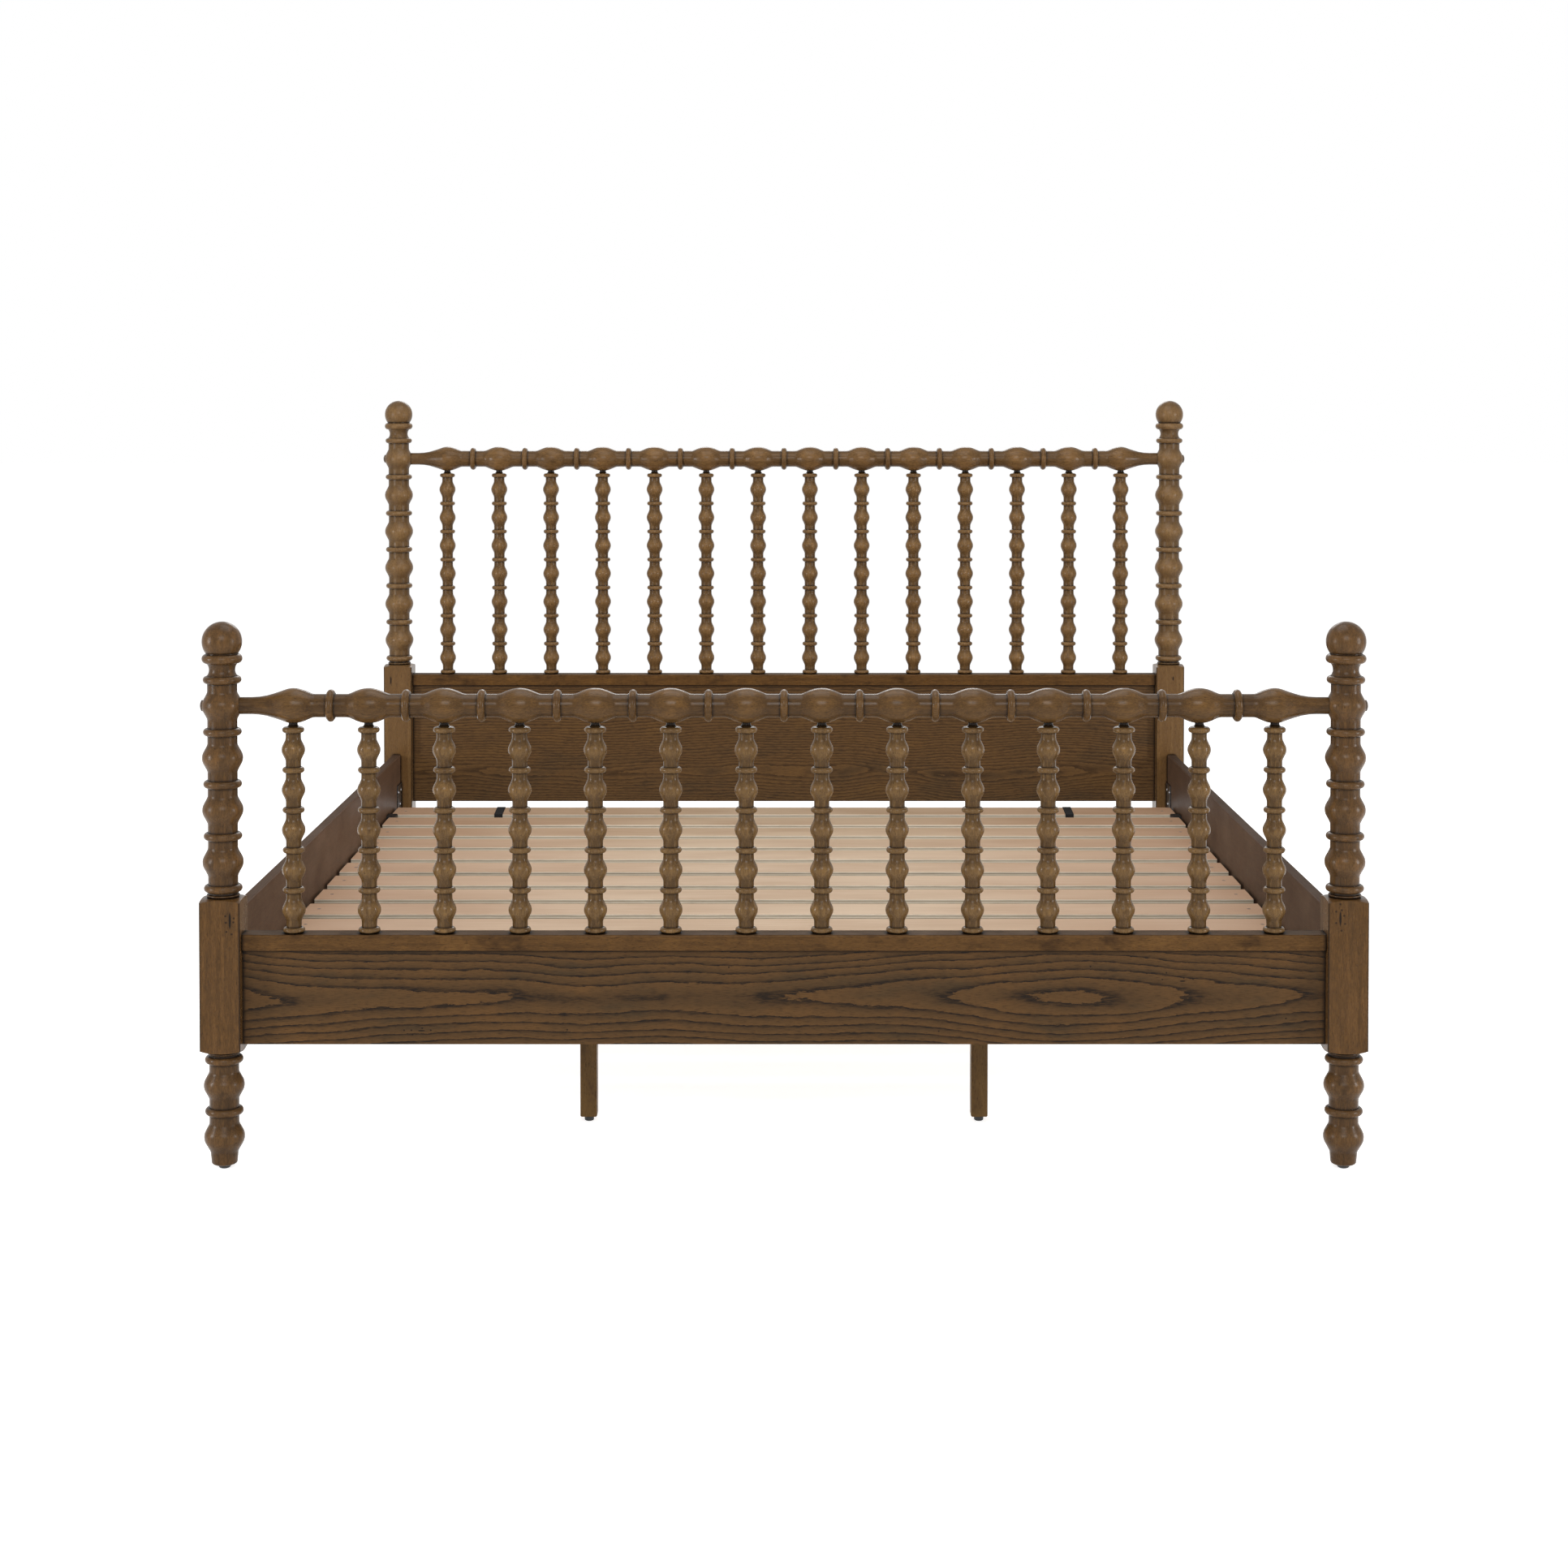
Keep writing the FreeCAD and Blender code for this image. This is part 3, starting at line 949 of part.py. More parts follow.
def build_slat_screws(name):
    """Sunk screws that hold the slats to the ledgers, flush with the slats."""
    body = new_body(name)
    parts = []
    head, shank = S.slat_screw_head, S.slat_screw_radius
    for mark, sign in (("Right", 1), ("Left", -1)):
        outline = Outline(body, "ScrewProfile" + mark).at(
            x="%d * (%s - %s)" % (sign, slat_half_length, S.slat_screw_inset))
        sunk = "-%s" % S.joint_clearance
        outline.to("0", sunk).to(head, sunk)
        outline.to(shank, "%s - (%s - %s)" % (sunk, head, shank))
        outline.to(shank, "2 - %s" % S.slat_screw_length).to("0", "-%s" % S.slat_screw_length)
        sketch = outline.close().done()
        parts.append(revolve(body, "Revolution", "Screw" + mark, sketch))
    way = Outline(body, "RowDirection", "YZ_Plane").sketch
    repeat(body, "ScrewRow", parts, way, "H_Axis",
           "%s * %d" % (slat_pitch, COUNTS["slats"] - 1), COUNTS["slats"])
    place(body, y="%s - %s / 2" % (S.first_slat, S.post_spacing_along), z=S.slat_top)
    return body


def build_straps(name):
    """Webbing loops round the last slat, each leaning a little over the slat's width."""
    body = new_body(name)
    gap, thick = "%s / 2" % S.joint_clearance, S.strap_thickness
    reach = "%s / 2 + %s + %s" % (S.slat_width, gap, thick)
    wide = S.strap_width + " / 2"
    pads = []
    for mark, sign in (("Left", -1), ("Right", 1)):
        lean = "(%d * %s / 2)" % (sign, S.strap_skew)
        loop = Outline(body, "LoopOutline" + mark, "XY_Plane").at(z="%s + %s" % (gap, thick))
        middle = "%d * %s" % (sign, strap_position)
        loop.to("%s - %s - %s" % (middle, wide, lean), "-(%s)" % reach)
        loop.to("%s + %s - %s" % (middle, wide, lean), "-(%s)" % reach)
        loop.to("%s + %s + %s" % (middle, wide, lean), reach)
        loop.to("%s - %s + %s" % (middle, wide, lean), reach)
        pads.append(add(body, "Pad", "Loop" + mark, loop.close().done(), Reversed=True,
                        Length="%s + 2 * (%s + %s)" % (S.slat_thickness, gap, thick)))
    core = Outline(body, "SlatSpace", "YZ_Plane")
    inner = "%s / 2 + %s" % (S.slat_width, gap)
    core.rectangle("-(%s)" % inner, "-%s - %s" % (S.slat_thickness, gap), inner, gap)
    add(body, "Pocket", "LoopOpening", core.done(), Length="4 * " + strap_position,
        SideType="Symmetric")
    place(body, y="%s / 2 - %s" % (S.post_spacing_along, S.last_slat), z=S.slat_top)
    return body


def build_stops(name):
    """Moulded stops on the ledgers that keep the last two slats apart."""
    body = new_body(name)
    pads = []
    for mark, sign in (("Left", -1), ("Right", 1)):
        def x(expression):
            return "%d * (%s)" % (sign, expression)
        outer = "%s - %s" % (rail_face, S.joint_clearance)
        inner, top = "%s - %s" % (rail_face, S.stop_width), S.stop_rise
        section = Outline(body, "StopSection" + mark)
        section.to(x(outer), "%s - %s" % (S.joint_clearance, S.slat_thickness)).to(x(outer), top)
        section.to(x("%s + %s" % (inner, S.stop_round)), top)
        section.arc(x(inner), "%s - %s" % (top, S.stop_round), S.stop_round, sign)
        section.to(x(inner), "%s - %s" % (S.joint_clearance, S.slat_thickness))
        pads.append(add(body, "Pad", "Stop" + mark, section.close().done(), Length=S.stop_length,
                        SideType="Symmetric"))
    place(body, y="%s / 2 - %s - %s / 2" % (S.post_spacing_along, S.last_slat, slat_pitch),
          z=S.slat_top)
    return body


def build_beams(name):
    """Beams across under the slats, bored for the centre legs."""
    body = new_body(name)
    half = S.beam_width + " / 2"
    section = Outline(body, "BeamSection", "YZ_Plane")
    section.rectangle("-(%s)" % half, "-%s" % S.beam_height, half, "0")
    parts = [add(body, "Pad", "Beam", section.done(), Length="2 * " + beam_half_length,
                 SideType="Symmetric")]
    bore = Outline(body, "DowelBores", "XY_Plane").at(z="-%s" % S.beam_height)
    for sign in (1, -1):
        bore.circle("%d * %s" % (sign, leg_position), "0",
                    "%s + %s" % (S.leg_dowel_radius, S.joint_clearance))
    parts.append(add(body, "Pocket", "DowelHoles", bore.done(), Reversed=True,
                     Length="%s + 1" % S.leg_dowel_length))
    repeat(body, "BeamRow", parts, parts[0].Profile[0], "H_Axis",
           "%s * %d" % (beam_pitch, COUNTS["beams"] - 1), COUNTS["beams"])
    place(body, y="%s - %s / 2" % (first_beam, S.post_spacing_along), z=beam_top)
    return body


def build_centre_legs(name):
    """Square legs under the beams: bevelled foot, round tenon above, bore for the glide."""
    body = new_body(name)
    half, bevel = S.leg_square + " / 2", S.leg_chamfer
    tall = "%s - %s - %s" % (leg_top, S.glide_height, S.joint_clearance)
    section = Outline(body, "LegSection", "XY_Plane").at(z=S.glide_height)
    section.rectangle("-(%s)" % half, "-(%s)" % half, half, half)
    column = add(body, "Pad", "LegColumn", section.done(), Length=tall)
    dowel = Outline(body, "DowelSection", "XY_Plane").at(z="%s - %s - 1" % (leg_top,
                                                                       S.joint_clearance))
    dowel.circle("0", "0", S.leg_dowel_radius)
    tenon = add(body, "Pad", "Dowel", dowel.done(), Length="%s + 1" % S.leg_dowel_length)
    reach = "%s * 1.5" % half
    trim = Outline(body, "FootBevel")
    trim.to("%s - %s" % (half, bevel), S.glide_height).to("%s + 1" % half,
                                                        "%s + %s + 1" % (S.glide_height, bevel))
    trim.to("%s + 1" % half, S.glide_height).close()
    trim.to("-(%s) + %s" % (half, bevel), S.glide_height)
    trim.to("-(%s) - 1" % half, "%s + %s + 1" % (S.glide_height, bevel))
    trim.to("-(%s) - 1" % half, S.glide_height).close()
    bevels = add(body, "Pocket", "Bevels", trim.done(), Length=reach + " * 2",
                 SideType="Symmetric")
    well = Outline(body, "GlideBore", "XY_Plane").at(z="%s - 1" % S.glide_height)
    well.circle("0", "0", "%s + %s" % (S.glide_stem_radius, S.running_clearance))
    bore = add(body, "Pocket", "GlideWell", well.done(), Reversed=True,
               Length="%s + 3" % S.glide_stem_length)
    sketch = column.Profile[0]
    repeat(body, "LegGrid", [column, tenon, bevels, bore], sketch, "H_Axis",
           "2 * " + leg_position, 2, ("V_Axis", "%s * %d" % (beam_pitch, COUNTS["beams"] - 1),
                                        COUNTS["beams"]))
    place(body, "-%s" % leg_position, "%s - %s / 2" % (first_beam, S.post_spacing_along))
    return body


def build_glide(name, x, y, radius, height, dome):
    """A levelling glide: domed foot on a threaded stem, screwed up to its stop."""
    body = new_body(name)
    top = "%s - %s" % (height, S.running_clearance)
    stem, tip = S.glide_stem_radius, "%s + %s" % (height, S.glide_stem_length)
    profile = Outline(body, "GlideProfile")
    profile.to("0", "0").to("%s - %s" % (radius, dome), "0")
    profile.arc(radius, dome, dome, +1).to(radius, top).to(stem, top)
    profile.to(stem, "%s - 1" % tip).to("%s - 1" % stem, tip).to("0", tip).close()
    revolve(body, "Revolution", "Glide", profile.done())
    place(body, x, y)
    return body


# ---------------------------------------------------------------- assembly
nodes = []
across, along = S.post_spacing_across, S.post_spacing_along
for end, sign in (("foot", -1), ("head", 1)):
    for word, side in (("left", -1), ("right", 1)):
        nodes.append(build_post("%s_post_%s" % (end, word), end, side))
        nodes.append(build_glide("post_glide_%s_%s" % (end, word), "%d * %s / 2" % (side, across),
                                 "%d * %s / 2" % (sign, along), S.post_glide_radius,
                                 S.post_glide_height, S.post_glide_dome))
    nodes.append(build_top_rail("%s_top_rail" % end, end))
    nodes.append(build_cap("%s_rail_cap" % end, end))
    for index in range(COUNTS["spindles"]):
        nodes.append(build_spindle("%s_spindle_%02d" % (end, index + 1), end, index))
nodes.append(build_panel("foot_board", "foot", S.foot_board_bottom))
nodes.append(build_panel("head_panel", "head", S.head_panel_bottom))
for word, side in (("left", -1), ("right", 1)):
    nodes.append(build_side_rail("side_rail_%s" % word, side))
    nodes.append(build_ledger("side_ledger_%s" % word, side))
    for row in range(COUNTS["beams"]):
        nodes.append(build_glide("leg_glide_%s_%d" % (word, row + 1),
                                 "%d * %s" % (side, leg_position),
                                 "%s - %s / 2 + %s * %d" % (first_beam, along, beam_pitch, row),
                                 S.glide_radius, S.glide_height, S.glide_dome))
nodes.append(build_hook_plates("rail_hook_plates"))
nodes.append(build_plate_screws("hook_plate_screws"))
nodes.append(build_bolts("rail_bolts"))
nodes.append(build_slats("bed_slats"))
nodes.append(build_slat_screws("slat_screws"))
nodes.append(build_straps("slat_straps"))
nodes.append(build_stops("slat_stops"))
nodes.append(build_beams("support_beams"))
nodes.append(build_centre_legs("centre_legs"))
doc.recompute()

# ---------------------------------------------------------------- check and write
faults = []
for item in doc.Objects:
    if "Invalid" in item.State or "Error" in item.State:
        faults.append("%s (%s): %s" % (item.Name, item.Label, item.State))
for body in nodes:
    shape = body.Shape
    if shape.isNull() or not shape.isValid() or not shape.Solids:
        faults.append("%s has no valid shape" % body.Label)
if faults:
    raise RuntimeError("\n".join(faults))

os.makedirs("parts", exist_ok=True)
for body in nodes:
    body.Shape.exportStep("parts/%s.step" % body.Label)
    print("%-20s %2d solid(s) %12.1f mm3" % (body.Label, len(body.Shape.Solids),
                                             body.Shape.Volume))
print("%d nodes" % len(nodes))
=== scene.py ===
"""Looks of the turned-spindle bedstead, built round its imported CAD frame."""
import logging
import math
from dataclasses import dataclass
from enum import Enum

import bmesh
import bpy
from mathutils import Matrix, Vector


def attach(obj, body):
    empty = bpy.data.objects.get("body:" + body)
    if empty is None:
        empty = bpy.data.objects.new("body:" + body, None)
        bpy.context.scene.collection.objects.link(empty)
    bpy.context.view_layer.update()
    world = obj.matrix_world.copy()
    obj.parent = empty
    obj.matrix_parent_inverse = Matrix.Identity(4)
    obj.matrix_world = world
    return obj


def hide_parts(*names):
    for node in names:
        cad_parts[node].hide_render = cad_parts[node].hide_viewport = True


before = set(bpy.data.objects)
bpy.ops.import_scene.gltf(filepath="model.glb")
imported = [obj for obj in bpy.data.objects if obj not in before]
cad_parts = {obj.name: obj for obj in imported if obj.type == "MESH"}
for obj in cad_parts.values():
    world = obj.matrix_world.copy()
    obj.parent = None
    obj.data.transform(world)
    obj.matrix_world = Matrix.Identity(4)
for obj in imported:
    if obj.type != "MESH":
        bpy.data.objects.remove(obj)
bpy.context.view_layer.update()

log = logging.getLogger("bedstead")

FRAME_PX = 1932.0  # side of the photograph's square frame
MM = 0.001  # one millimetre in scene units
ROOT = "bedstead"  # the body that everything but the glides belongs to
POST_X, POST_Y = 0.98, 1.055  # axes of the posts, left-right and front-back
BLOCK_HALF = 0.0355  # half the side of a post's square block
SPINDLE_PITCH = 0.1317538  # distance between the spindles' axes
FOOT_RAIL_Z, HEAD_RAIL_Z = 0.8115, 1.183  # heights of the top rails' axes
SLAT_TOP, SLAT_THICK = 0.312, 0.018
LACQUER_IOR = 1.48  # nitrocellulose lacquer
SATIN = 0.14  # specular level of the satin coat; a clean glossy coat has 0.5
GLAZE_AND_SHADE = "#150d07"  # dark glaze in the open pores; also the colour of painted shade in grooves, along arrises and on top faces
WORN = "#070403"  # inside of worm holes and cracks
ALL_ROUND = (1.0, 1.0, 1.0)  # a pattern that runs no one way


class Grain(Enum):
    """Axis that the wood's grain runs along."""

    X = 0
    Y = 1
    Z = 2


class Turning(Enum):
    """Which axes a turned piece spins about, and so where its waists and crests are."""

    NONE = "planed"
    POST = "post"
    SPINDLE = "spindle"
    RAIL = "rail"


# ------------------------------------------------------------------ colour and nodes
def linear(hex_code: str) -> tuple:
    """Turn an sRGB hex colour into a linear RGBA tuple.

    Args:
        hex_code: Colour such as "#6a5238".

    Returns:
        Linear red, green, blue and an alpha of 1.
    """
    digits = hex_code.lstrip("#")
    channels = [int(digits[i:i + 2], 16) / 255 for i in (0, 2, 4)]
    return tuple(c / 12.92 if c <= 0.04045 else ((c + 0.055) / 1.055) ** 2.4
                 for c in channels) + (1.0,)


class Nodes:
    """An emptied node tree of a material or world, and the way to fill it."""

    def __init__(self, owner: object) -> None:
        """Empty the tree of a material or world.

        Args:
            owner: Material or world.
        """
        owner.use_nodes = True
        self.tree = owner.node_tree
        self.tree.nodes.clear()

    def add(self, kind: str, values: object = (), out: object = 0, stops: tuple = (),
            **settings) -> bpy.types.NodeSocket:
        """Add a shader node, set its options and fill or link its inputs.

        Args:
            kind: Node type without its "ShaderNode" prefix.
            values: Inputs in order, or by name: a number, a hex colour or a socket to link.
            out: Index or name of the output socket to return.
            stops: A colour ramp's stops, each a position and a hex colour or grey value, or
                a float curve's points.
            **settings: Node properties, such as operation or blend_type.

        Returns:
            The chosen output socket, or None for a node without outputs.
        """
        made = self.tree.nodes.new("ShaderNode" + kind)
        for key, value in settings.items():
            setattr(made, key, value)
        for key, value in values.items() if isinstance(values, dict) else enumerate(values):
            if isinstance(value, bpy.types.NodeSocket):
                self.tree.links.new(value, made.inputs[key])
            else:
                made.inputs[key].default_value = (
                    linear(value) if isinstance(value, str) else value)
        for index, (along, value) in enumerate(stops):
            if kind == "ValToRGB":
                band = made.color_ramp.elements
                stop = band[index] if index < 2 else band.new(along)
                stop.position = along
                stop.color = linear(value) if isinstance(value, str) else (value,) * 3 + (1.0,)
            else:
                points = made.mapping.curves[0].points
                if index < 2:
                    points[index].location = (along, value)
                else:
                    points.new(along, value)
        if kind == "FloatCurve":
            made.mapping.update()
        return made.outputs[out] if len(made.outputs) else None

    def shown(self) -> bpy.types.NodeSocket:
        """Mask of the rays that come from the camera, off gloss or through glass.

        Returns:
            The mask, 1 for such a ray and 0 for one that lights the bed.
        """
        rays = self.add("LightPath").node.outputs
        mask = rays["Is Camera Ray"]
        for kind in ("Is Glossy Ray", "Is Transmission Ray"):
            mask = self.add("Math", (mask, rays[kind]), operation="MAXIMUM")
        return mask


@dataclass(frozen=True)
class Mark:
    """A worm hole or crack worn into a face, as an ellipse in the object's frame."""

    centre: tuple  # metres
    radii: tuple  # half extents in metres
    depth: float = 0.9  # strength of the dark inside


class Finish(Nodes):
    """A procedural material: its coordinates and the layers that finishes share."""

    GROOVE_SKY, OPEN_SKY = 0.60, 0.92  # share of open sky over a groove and over a plain face
    MARK_EDGE = (0.9, 1.3)  # a mark's dark inside fades out between these shares of its radii

    def __init__(self, name: str) -> None:
        """Make the empty material with its shader and output.

        Args:
            name: Name of the material.
        """
        self.material = bpy.data.materials.new(name)
        super().__init__(self.material)
        surface = self.add("BsdfPrincipled")
        self.shader = surface.node
        self.add("OutputMaterial", (surface,))
        self.place = self.add("TexCoord", out="Object")
        parts = self.add("SeparateXYZ", (self.place,)).node.outputs
        self.x, self.y, self.z = parts[0], parts[1], parts[2]

    def upward(self) -> bpy.types.NodeSocket:
        """How far the surface looks up, from -1 for down to 1."""
        return self.add("SeparateXYZ", (self.add("NewGeometry", out="Normal"),), out="Z")

    def pattern(self, stretch: tuple, size_mm: float, detail: float = 2.0,
                rough: float = 0.5) -> bpy.types.NodeSocket:
        """Cloudy pattern of a real size, drawn out along the axes where stretch is under 1.

        Args:
            stretch: Scale along x, y and z.
            size_mm: Size of a patch across the grain.
            detail: Octaves of finer pattern.
            rough: Strength of the finer octaves.

        Returns:
            The pattern, about 0.25 to 0.75.
        """
        squeezed = self.add("VectorMath", (self.place, stretch), operation="MULTIPLY")
        return self.add("TexNoise", {"Vector": squeezed, "Scale": 1 / (size_mm * MM),
                                     "Detail": detail, "Roughness": rough})

    def hollow_shade(self, reach_mm: float, share: float) -> bpy.types.NodeSocket:
        """Mask of painted shade in the grooves, from how little open sky they see.

        Args:
            reach_mm: How far the painted shade reaches out of a groove.
            share: Strength of the painted shade at the bottom of a groove.

        Returns:
            The mask.
        """
        open_sky = self.add("AmbientOcclusion", {"Distance": reach_mm * MM}, out="AO", samples=8)
        return self.add("MapRange", (open_sky, self.GROOVE_SKY, self.OPEN_SKY, share, 0.0))

    def worn(self, colour: bpy.types.NodeSocket, marks: tuple) -> bpy.types.NodeSocket:
        """Darken the distressed marks.

        Args:
            colour: Colour so far.
            marks: Worm holes and cracks.

        Returns:
            The colour with the marks in it.
        """
        for mark in marks:
            offset = self.add("VectorMath", (self.place, mark.centre), operation="SUBTRACT")
            scaled = self.add("VectorMath", (offset, tuple(1 / r for r in mark.radii)),
                              operation="MULTIPLY")
            away = self.add("VectorMath", (scaled,), out="Value", operation="LENGTH")
            inside = self.add("MapRange", (away, *self.MARK_EDGE, mark.depth, 0.0))
            colour = self.add("MixRGB", (inside, colour, WORN))
        return colour

    def finish(self, colour: object, rough: object, ior: float, level: float = 0.5,
               relief: tuple = ()) -> bpy.types.Material:
        """Join the colour, gloss and relief to the shader.

        Args:
            colour: Base colour, a hex colour or a socket.
            rough: Roughness, a number or a socket.
            ior: Refractive index of the outer coat.
            level: Specular level of the coat; 0.5 is a clean coat.
            relief: Height socket, strength and depth in mm, or nothing.

        Returns:
            The material.
        """
        inputs = self.shader.inputs
        for key, value in (("Base Color", colour), ("Roughness", rough)):
            if isinstance(value, bpy.types.NodeSocket):
                self.tree.links.new(value, inputs[key])
            else:
                inputs[key].default_value = linear(value) if isinstance(value, str) else value
        if relief:
            height, strength, depth_mm = relief
            bump = self.add("Bump", {"Height": height, "Strength": strength,
                                     "Distance": depth_mm * MM})
            self.tree.links.new(bump, inputs["Normal"])
        inputs["IOR"].default_value = ior
        inputs["Specular IOR Level"].default_value = level
        return self.material


# ------------------------------------------------------------------ finishes
@dataclass(frozen=True)
class StainedHardwood:
    """Rubberwood, turned or planed, stained brown and glazed, under a satin lacquer.

    Painted shade darkens the grooves beside the rings, the waists, the sharp arrises and the
    top faces, with dark glaze in the grooves and along the arrises, so the eye gets dark
    outlines round each ring and a warmer, paler belly on each bead, with the wood's short
    fibres and pores as a fine mottle.
    """

    name: str
    grain: Grain
    turning: Turning = Turning.NONE
    tone: str = "#5e4224"  # wiped stain
    thin: str = "#6f4e29"  # where the stain is thin
    dark: str = "#3c2a18"  # hazy patches where it is thick
    waist_shade: str = "#4a3726"  # painted shade on the waists of a turned piece
    block: tuple = ()  # bottom, top and tone of the square block of a post
    mottle_mm: float = 34.0  # width of a patch of stain
    fibre_mm: float = 1.6  # width of a bundle of fibres, drawn three times too wide to show
    pore_mm: float = 1.2  # width of a vessel, drawn about four times too wide to show
    figure_mm: float = 8.0  # spacing of the growth rings
    groove_mm: float = 7.0  # reach of the painted shade round a groove
    waist_mm: float = 26.3  # radii between which the painted shade of the waists thins out
    crest_mm: float = 34.5
    top_shade: float = 0.0  # strength of the painted shade on faces that look up
    gloss: float = SATIN  # specular level of the coat
    rough: float = 0.28
    marks: tuple = ()

    STAIN_LEVELS = (0.30, 0.44, 0.56, 0.70)  # of the mottle: dark, plain, plain, thin
    WAIST_SHARE = 0.62  # strength of the painted waist shade where a turned piece is thinnest
    BLOCK_SHARE, BLOCK_EDGE = 0.8, 1.0 * MM  # strength and soft edge of the block's own tone
    ARRIS_MM = (3.0, 1.4)  # from a block's arris: where its dark line of painted shade and glaze starts and is full
    ARRIS_SHARE = 0.75
    GROOVE_SHARE = 0.95
    TOP_FACING = (0.6, 0.95)  # upward part of the normal where the painted top shade starts and is full
    TOP_DULLNESS = 0.7  # roughness that the full top mask adds to a top face
    DULLER, GLOSSIER = 0.07, 0.04  # change of roughness on the dark and on the thin stain
    NECK_Z, NECK_EDGE = 0.7752, 1.0 * MM  # height and soft edge of a foot spindle's neck
    POOL, POOL_SHARE = "#0d0805", 0.9  # painted shade under the rail on the necks, with glaze; its strength
    NECK_WET = -0.08  # change of roughness on it
    RELIEF = (0.12, 0.25)  # strength and depth in mm of the fibres' relief

    def stretch(self, ratio: float) -> tuple:
        """Scales that draw a pattern out along the grain by one over the ratio."""
        return tuple(ratio if axis == self.grain.value else 1.0 for axis in range(3))

    def radius(self, f: Finish) -> bpy.types.NodeSocket:
        """Distance from the axis that the piece was turned about.

        Args:
            f: The material in hand.

        Returns:
            The distance in metres.
        """
        size_y = f.add("Math", (f.y,), operation="ABSOLUTE")
        beyond = f.add("Math", (size_y, POST_Y), operation="SUBTRACT")
        if self.turning is Turning.POST:
            size_x = f.add("Math", (f.x,), operation="ABSOLUTE")
            across = f.add("Math", (size_x, POST_X), operation="SUBTRACT")
        elif self.turning is Turning.SPINDLE:
            half = SPINDLE_PITCH / 2
            shifted = f.add("Math", (f.x, half), operation="ADD")
            across = f.add("Math", (shifted, half, -half), operation="WRAP")
        else:
            upper = f.add("Math", (f.z, 1.0), operation="GREATER_THAN")
            axis = f.add("Math", (upper, HEAD_RAIL_Z - FOOT_RAIL_Z, FOOT_RAIL_Z),
                         operation="MULTIPLY_ADD")
            across = f.add("Math", (f.z, axis), operation="SUBTRACT")
        square = f.add("Math", (across, across), operation="MULTIPLY")
        total = f.add("Math", (beyond, beyond, square), operation="MULTIPLY_ADD")
        return f.add("Math", (total,), operation="SQRT")

    def arris_shade(self, f: Finish) -> bpy.types.NodeSocket:
        """Mask of the block's corner edges, drawn dark as painted shade with glaze.

        Args:
            f: The material in hand.

        Returns:
            The mask.
        """
        sides = []
        for axis, middle in ((f.x, POST_X), (f.y, POST_Y)):
            size = f.add("Math", (axis,), operation="ABSOLUTE")
            offset = f.add("Math", (size, middle), operation="SUBTRACT")
            sides.append(f.add("Math", (offset,), operation="ABSOLUTE"))
        nearer = f.add("Math", tuple(sides), operation="MINIMUM")
        start, full = (BLOCK_HALF - inwards * MM for inwards in self.ARRIS_MM)
        return f.add("MapRange", (nearer, start, full, 0.0, self.ARRIS_SHARE))

    def build(self) -> bpy.types.Material:
        """Make the material.

        Returns:
            The material.
        """
        f = Finish(self.name)
        patches = f.pattern(self.stretch(0.6), self.mottle_mm, 3.0, 0.6)
        fibres = f.pattern(self.stretch(0.12), self.fibre_mm, 3.0, 0.65)
        pores = f.pattern(self.stretch(0.16), self.pore_mm, 1.0)
        streaks = f.pattern(self.stretch(0.05), self.figure_mm, 2.0, 0.55)
        stains = zip(self.STAIN_LEVELS, (self.dark, self.tone, self.tone, self.thin))
        colour = f.add("ValToRGB", (patches,), stops=tuple(stains))
        if self.turning is not Turning.NONE:
            # painted shade on the waists, strongest where a turned piece is thinnest
            waist_shade = f.add("MapRange", (self.radius(f), self.waist_mm * MM, self.crest_mm * MM,
                                       self.WAIST_SHARE, 0.0))
            colour = f.add("MixRGB", (waist_shade, colour, self.waist_shade))
        if self.block:
            bottom, top, tone = self.block
            middle, half = (bottom + top) / 2, (top - bottom) / 2
            offset = f.add("Math", (f.z, middle), operation="SUBTRACT")
            away = f.add("Math", (offset,), operation="ABSOLUTE")
            square = f.add("MapRange", (away, half - self.BLOCK_EDGE, half, self.BLOCK_SHARE,
                                        0.0))
            colour = f.add("MixRGB", (square, colour, tone))
        # growth rings, fibres and vessels: the pattern, its levels where the tint starts and
        # is full, the tint's strength and its colour
        for source, low, high, share, tone in (
                (streaks, 0.50, 0.72, 0.45, self.dark), (streaks, 0.48, 0.30, 0.40, self.thin),
                (fibres, 0.42, 0.70, 0.55, self.dark), (fibres, 0.48, 0.30, 0.35, self.thin),
                (pores, 0.62, 0.74, 0.55, GLAZE_AND_SHADE)):
            amount = f.add("MapRange", (source, low, high, 0.0, share))
            colour = f.add("MixRGB", (amount, colour, tone))
        rough = f.add("MapRange", (patches, 0.3, 0.7, self.rough + self.DULLER,
                                   self.rough - self.GLOSSIER))
        if self.top_shade:
            # painted shade on faces that look up; the same mask also dulls them
            up = f.add("MapRange", (f.upward(), *self.TOP_FACING, 0.0, self.top_shade))
            colour = f.add("MixRGB", (up, colour, GLAZE_AND_SHADE))
            rough = f.add("Math", (up, self.TOP_DULLNESS, rough), operation="MULTIPLY_ADD",
                          use_clamp=True)
        # painted shade, with dark glaze, in the grooves beside the rings
        grooves = f.hollow_shade(self.groove_mm, self.GROOVE_SHARE)
        colour = f.add("MixRGB", (grooves, colour, GLAZE_AND_SHADE))
        if self.turning is Turning.POST:
            # painted shade with dark glaze along the block's arrises
            colour = f.add("MixRGB", (self.arris_shade(f), colour, GLAZE_AND_SHADE))
        if self.turning is Turning.SPINDLE:
            # painted shade on the necks under the rail
            colour, rough = self.neck_shade(f, colour, rough)
        return f.finish(f.worn(colour, self.marks), rough, LACQUER_IOR, self.gloss,
                        (fibres, *self.RELIEF))

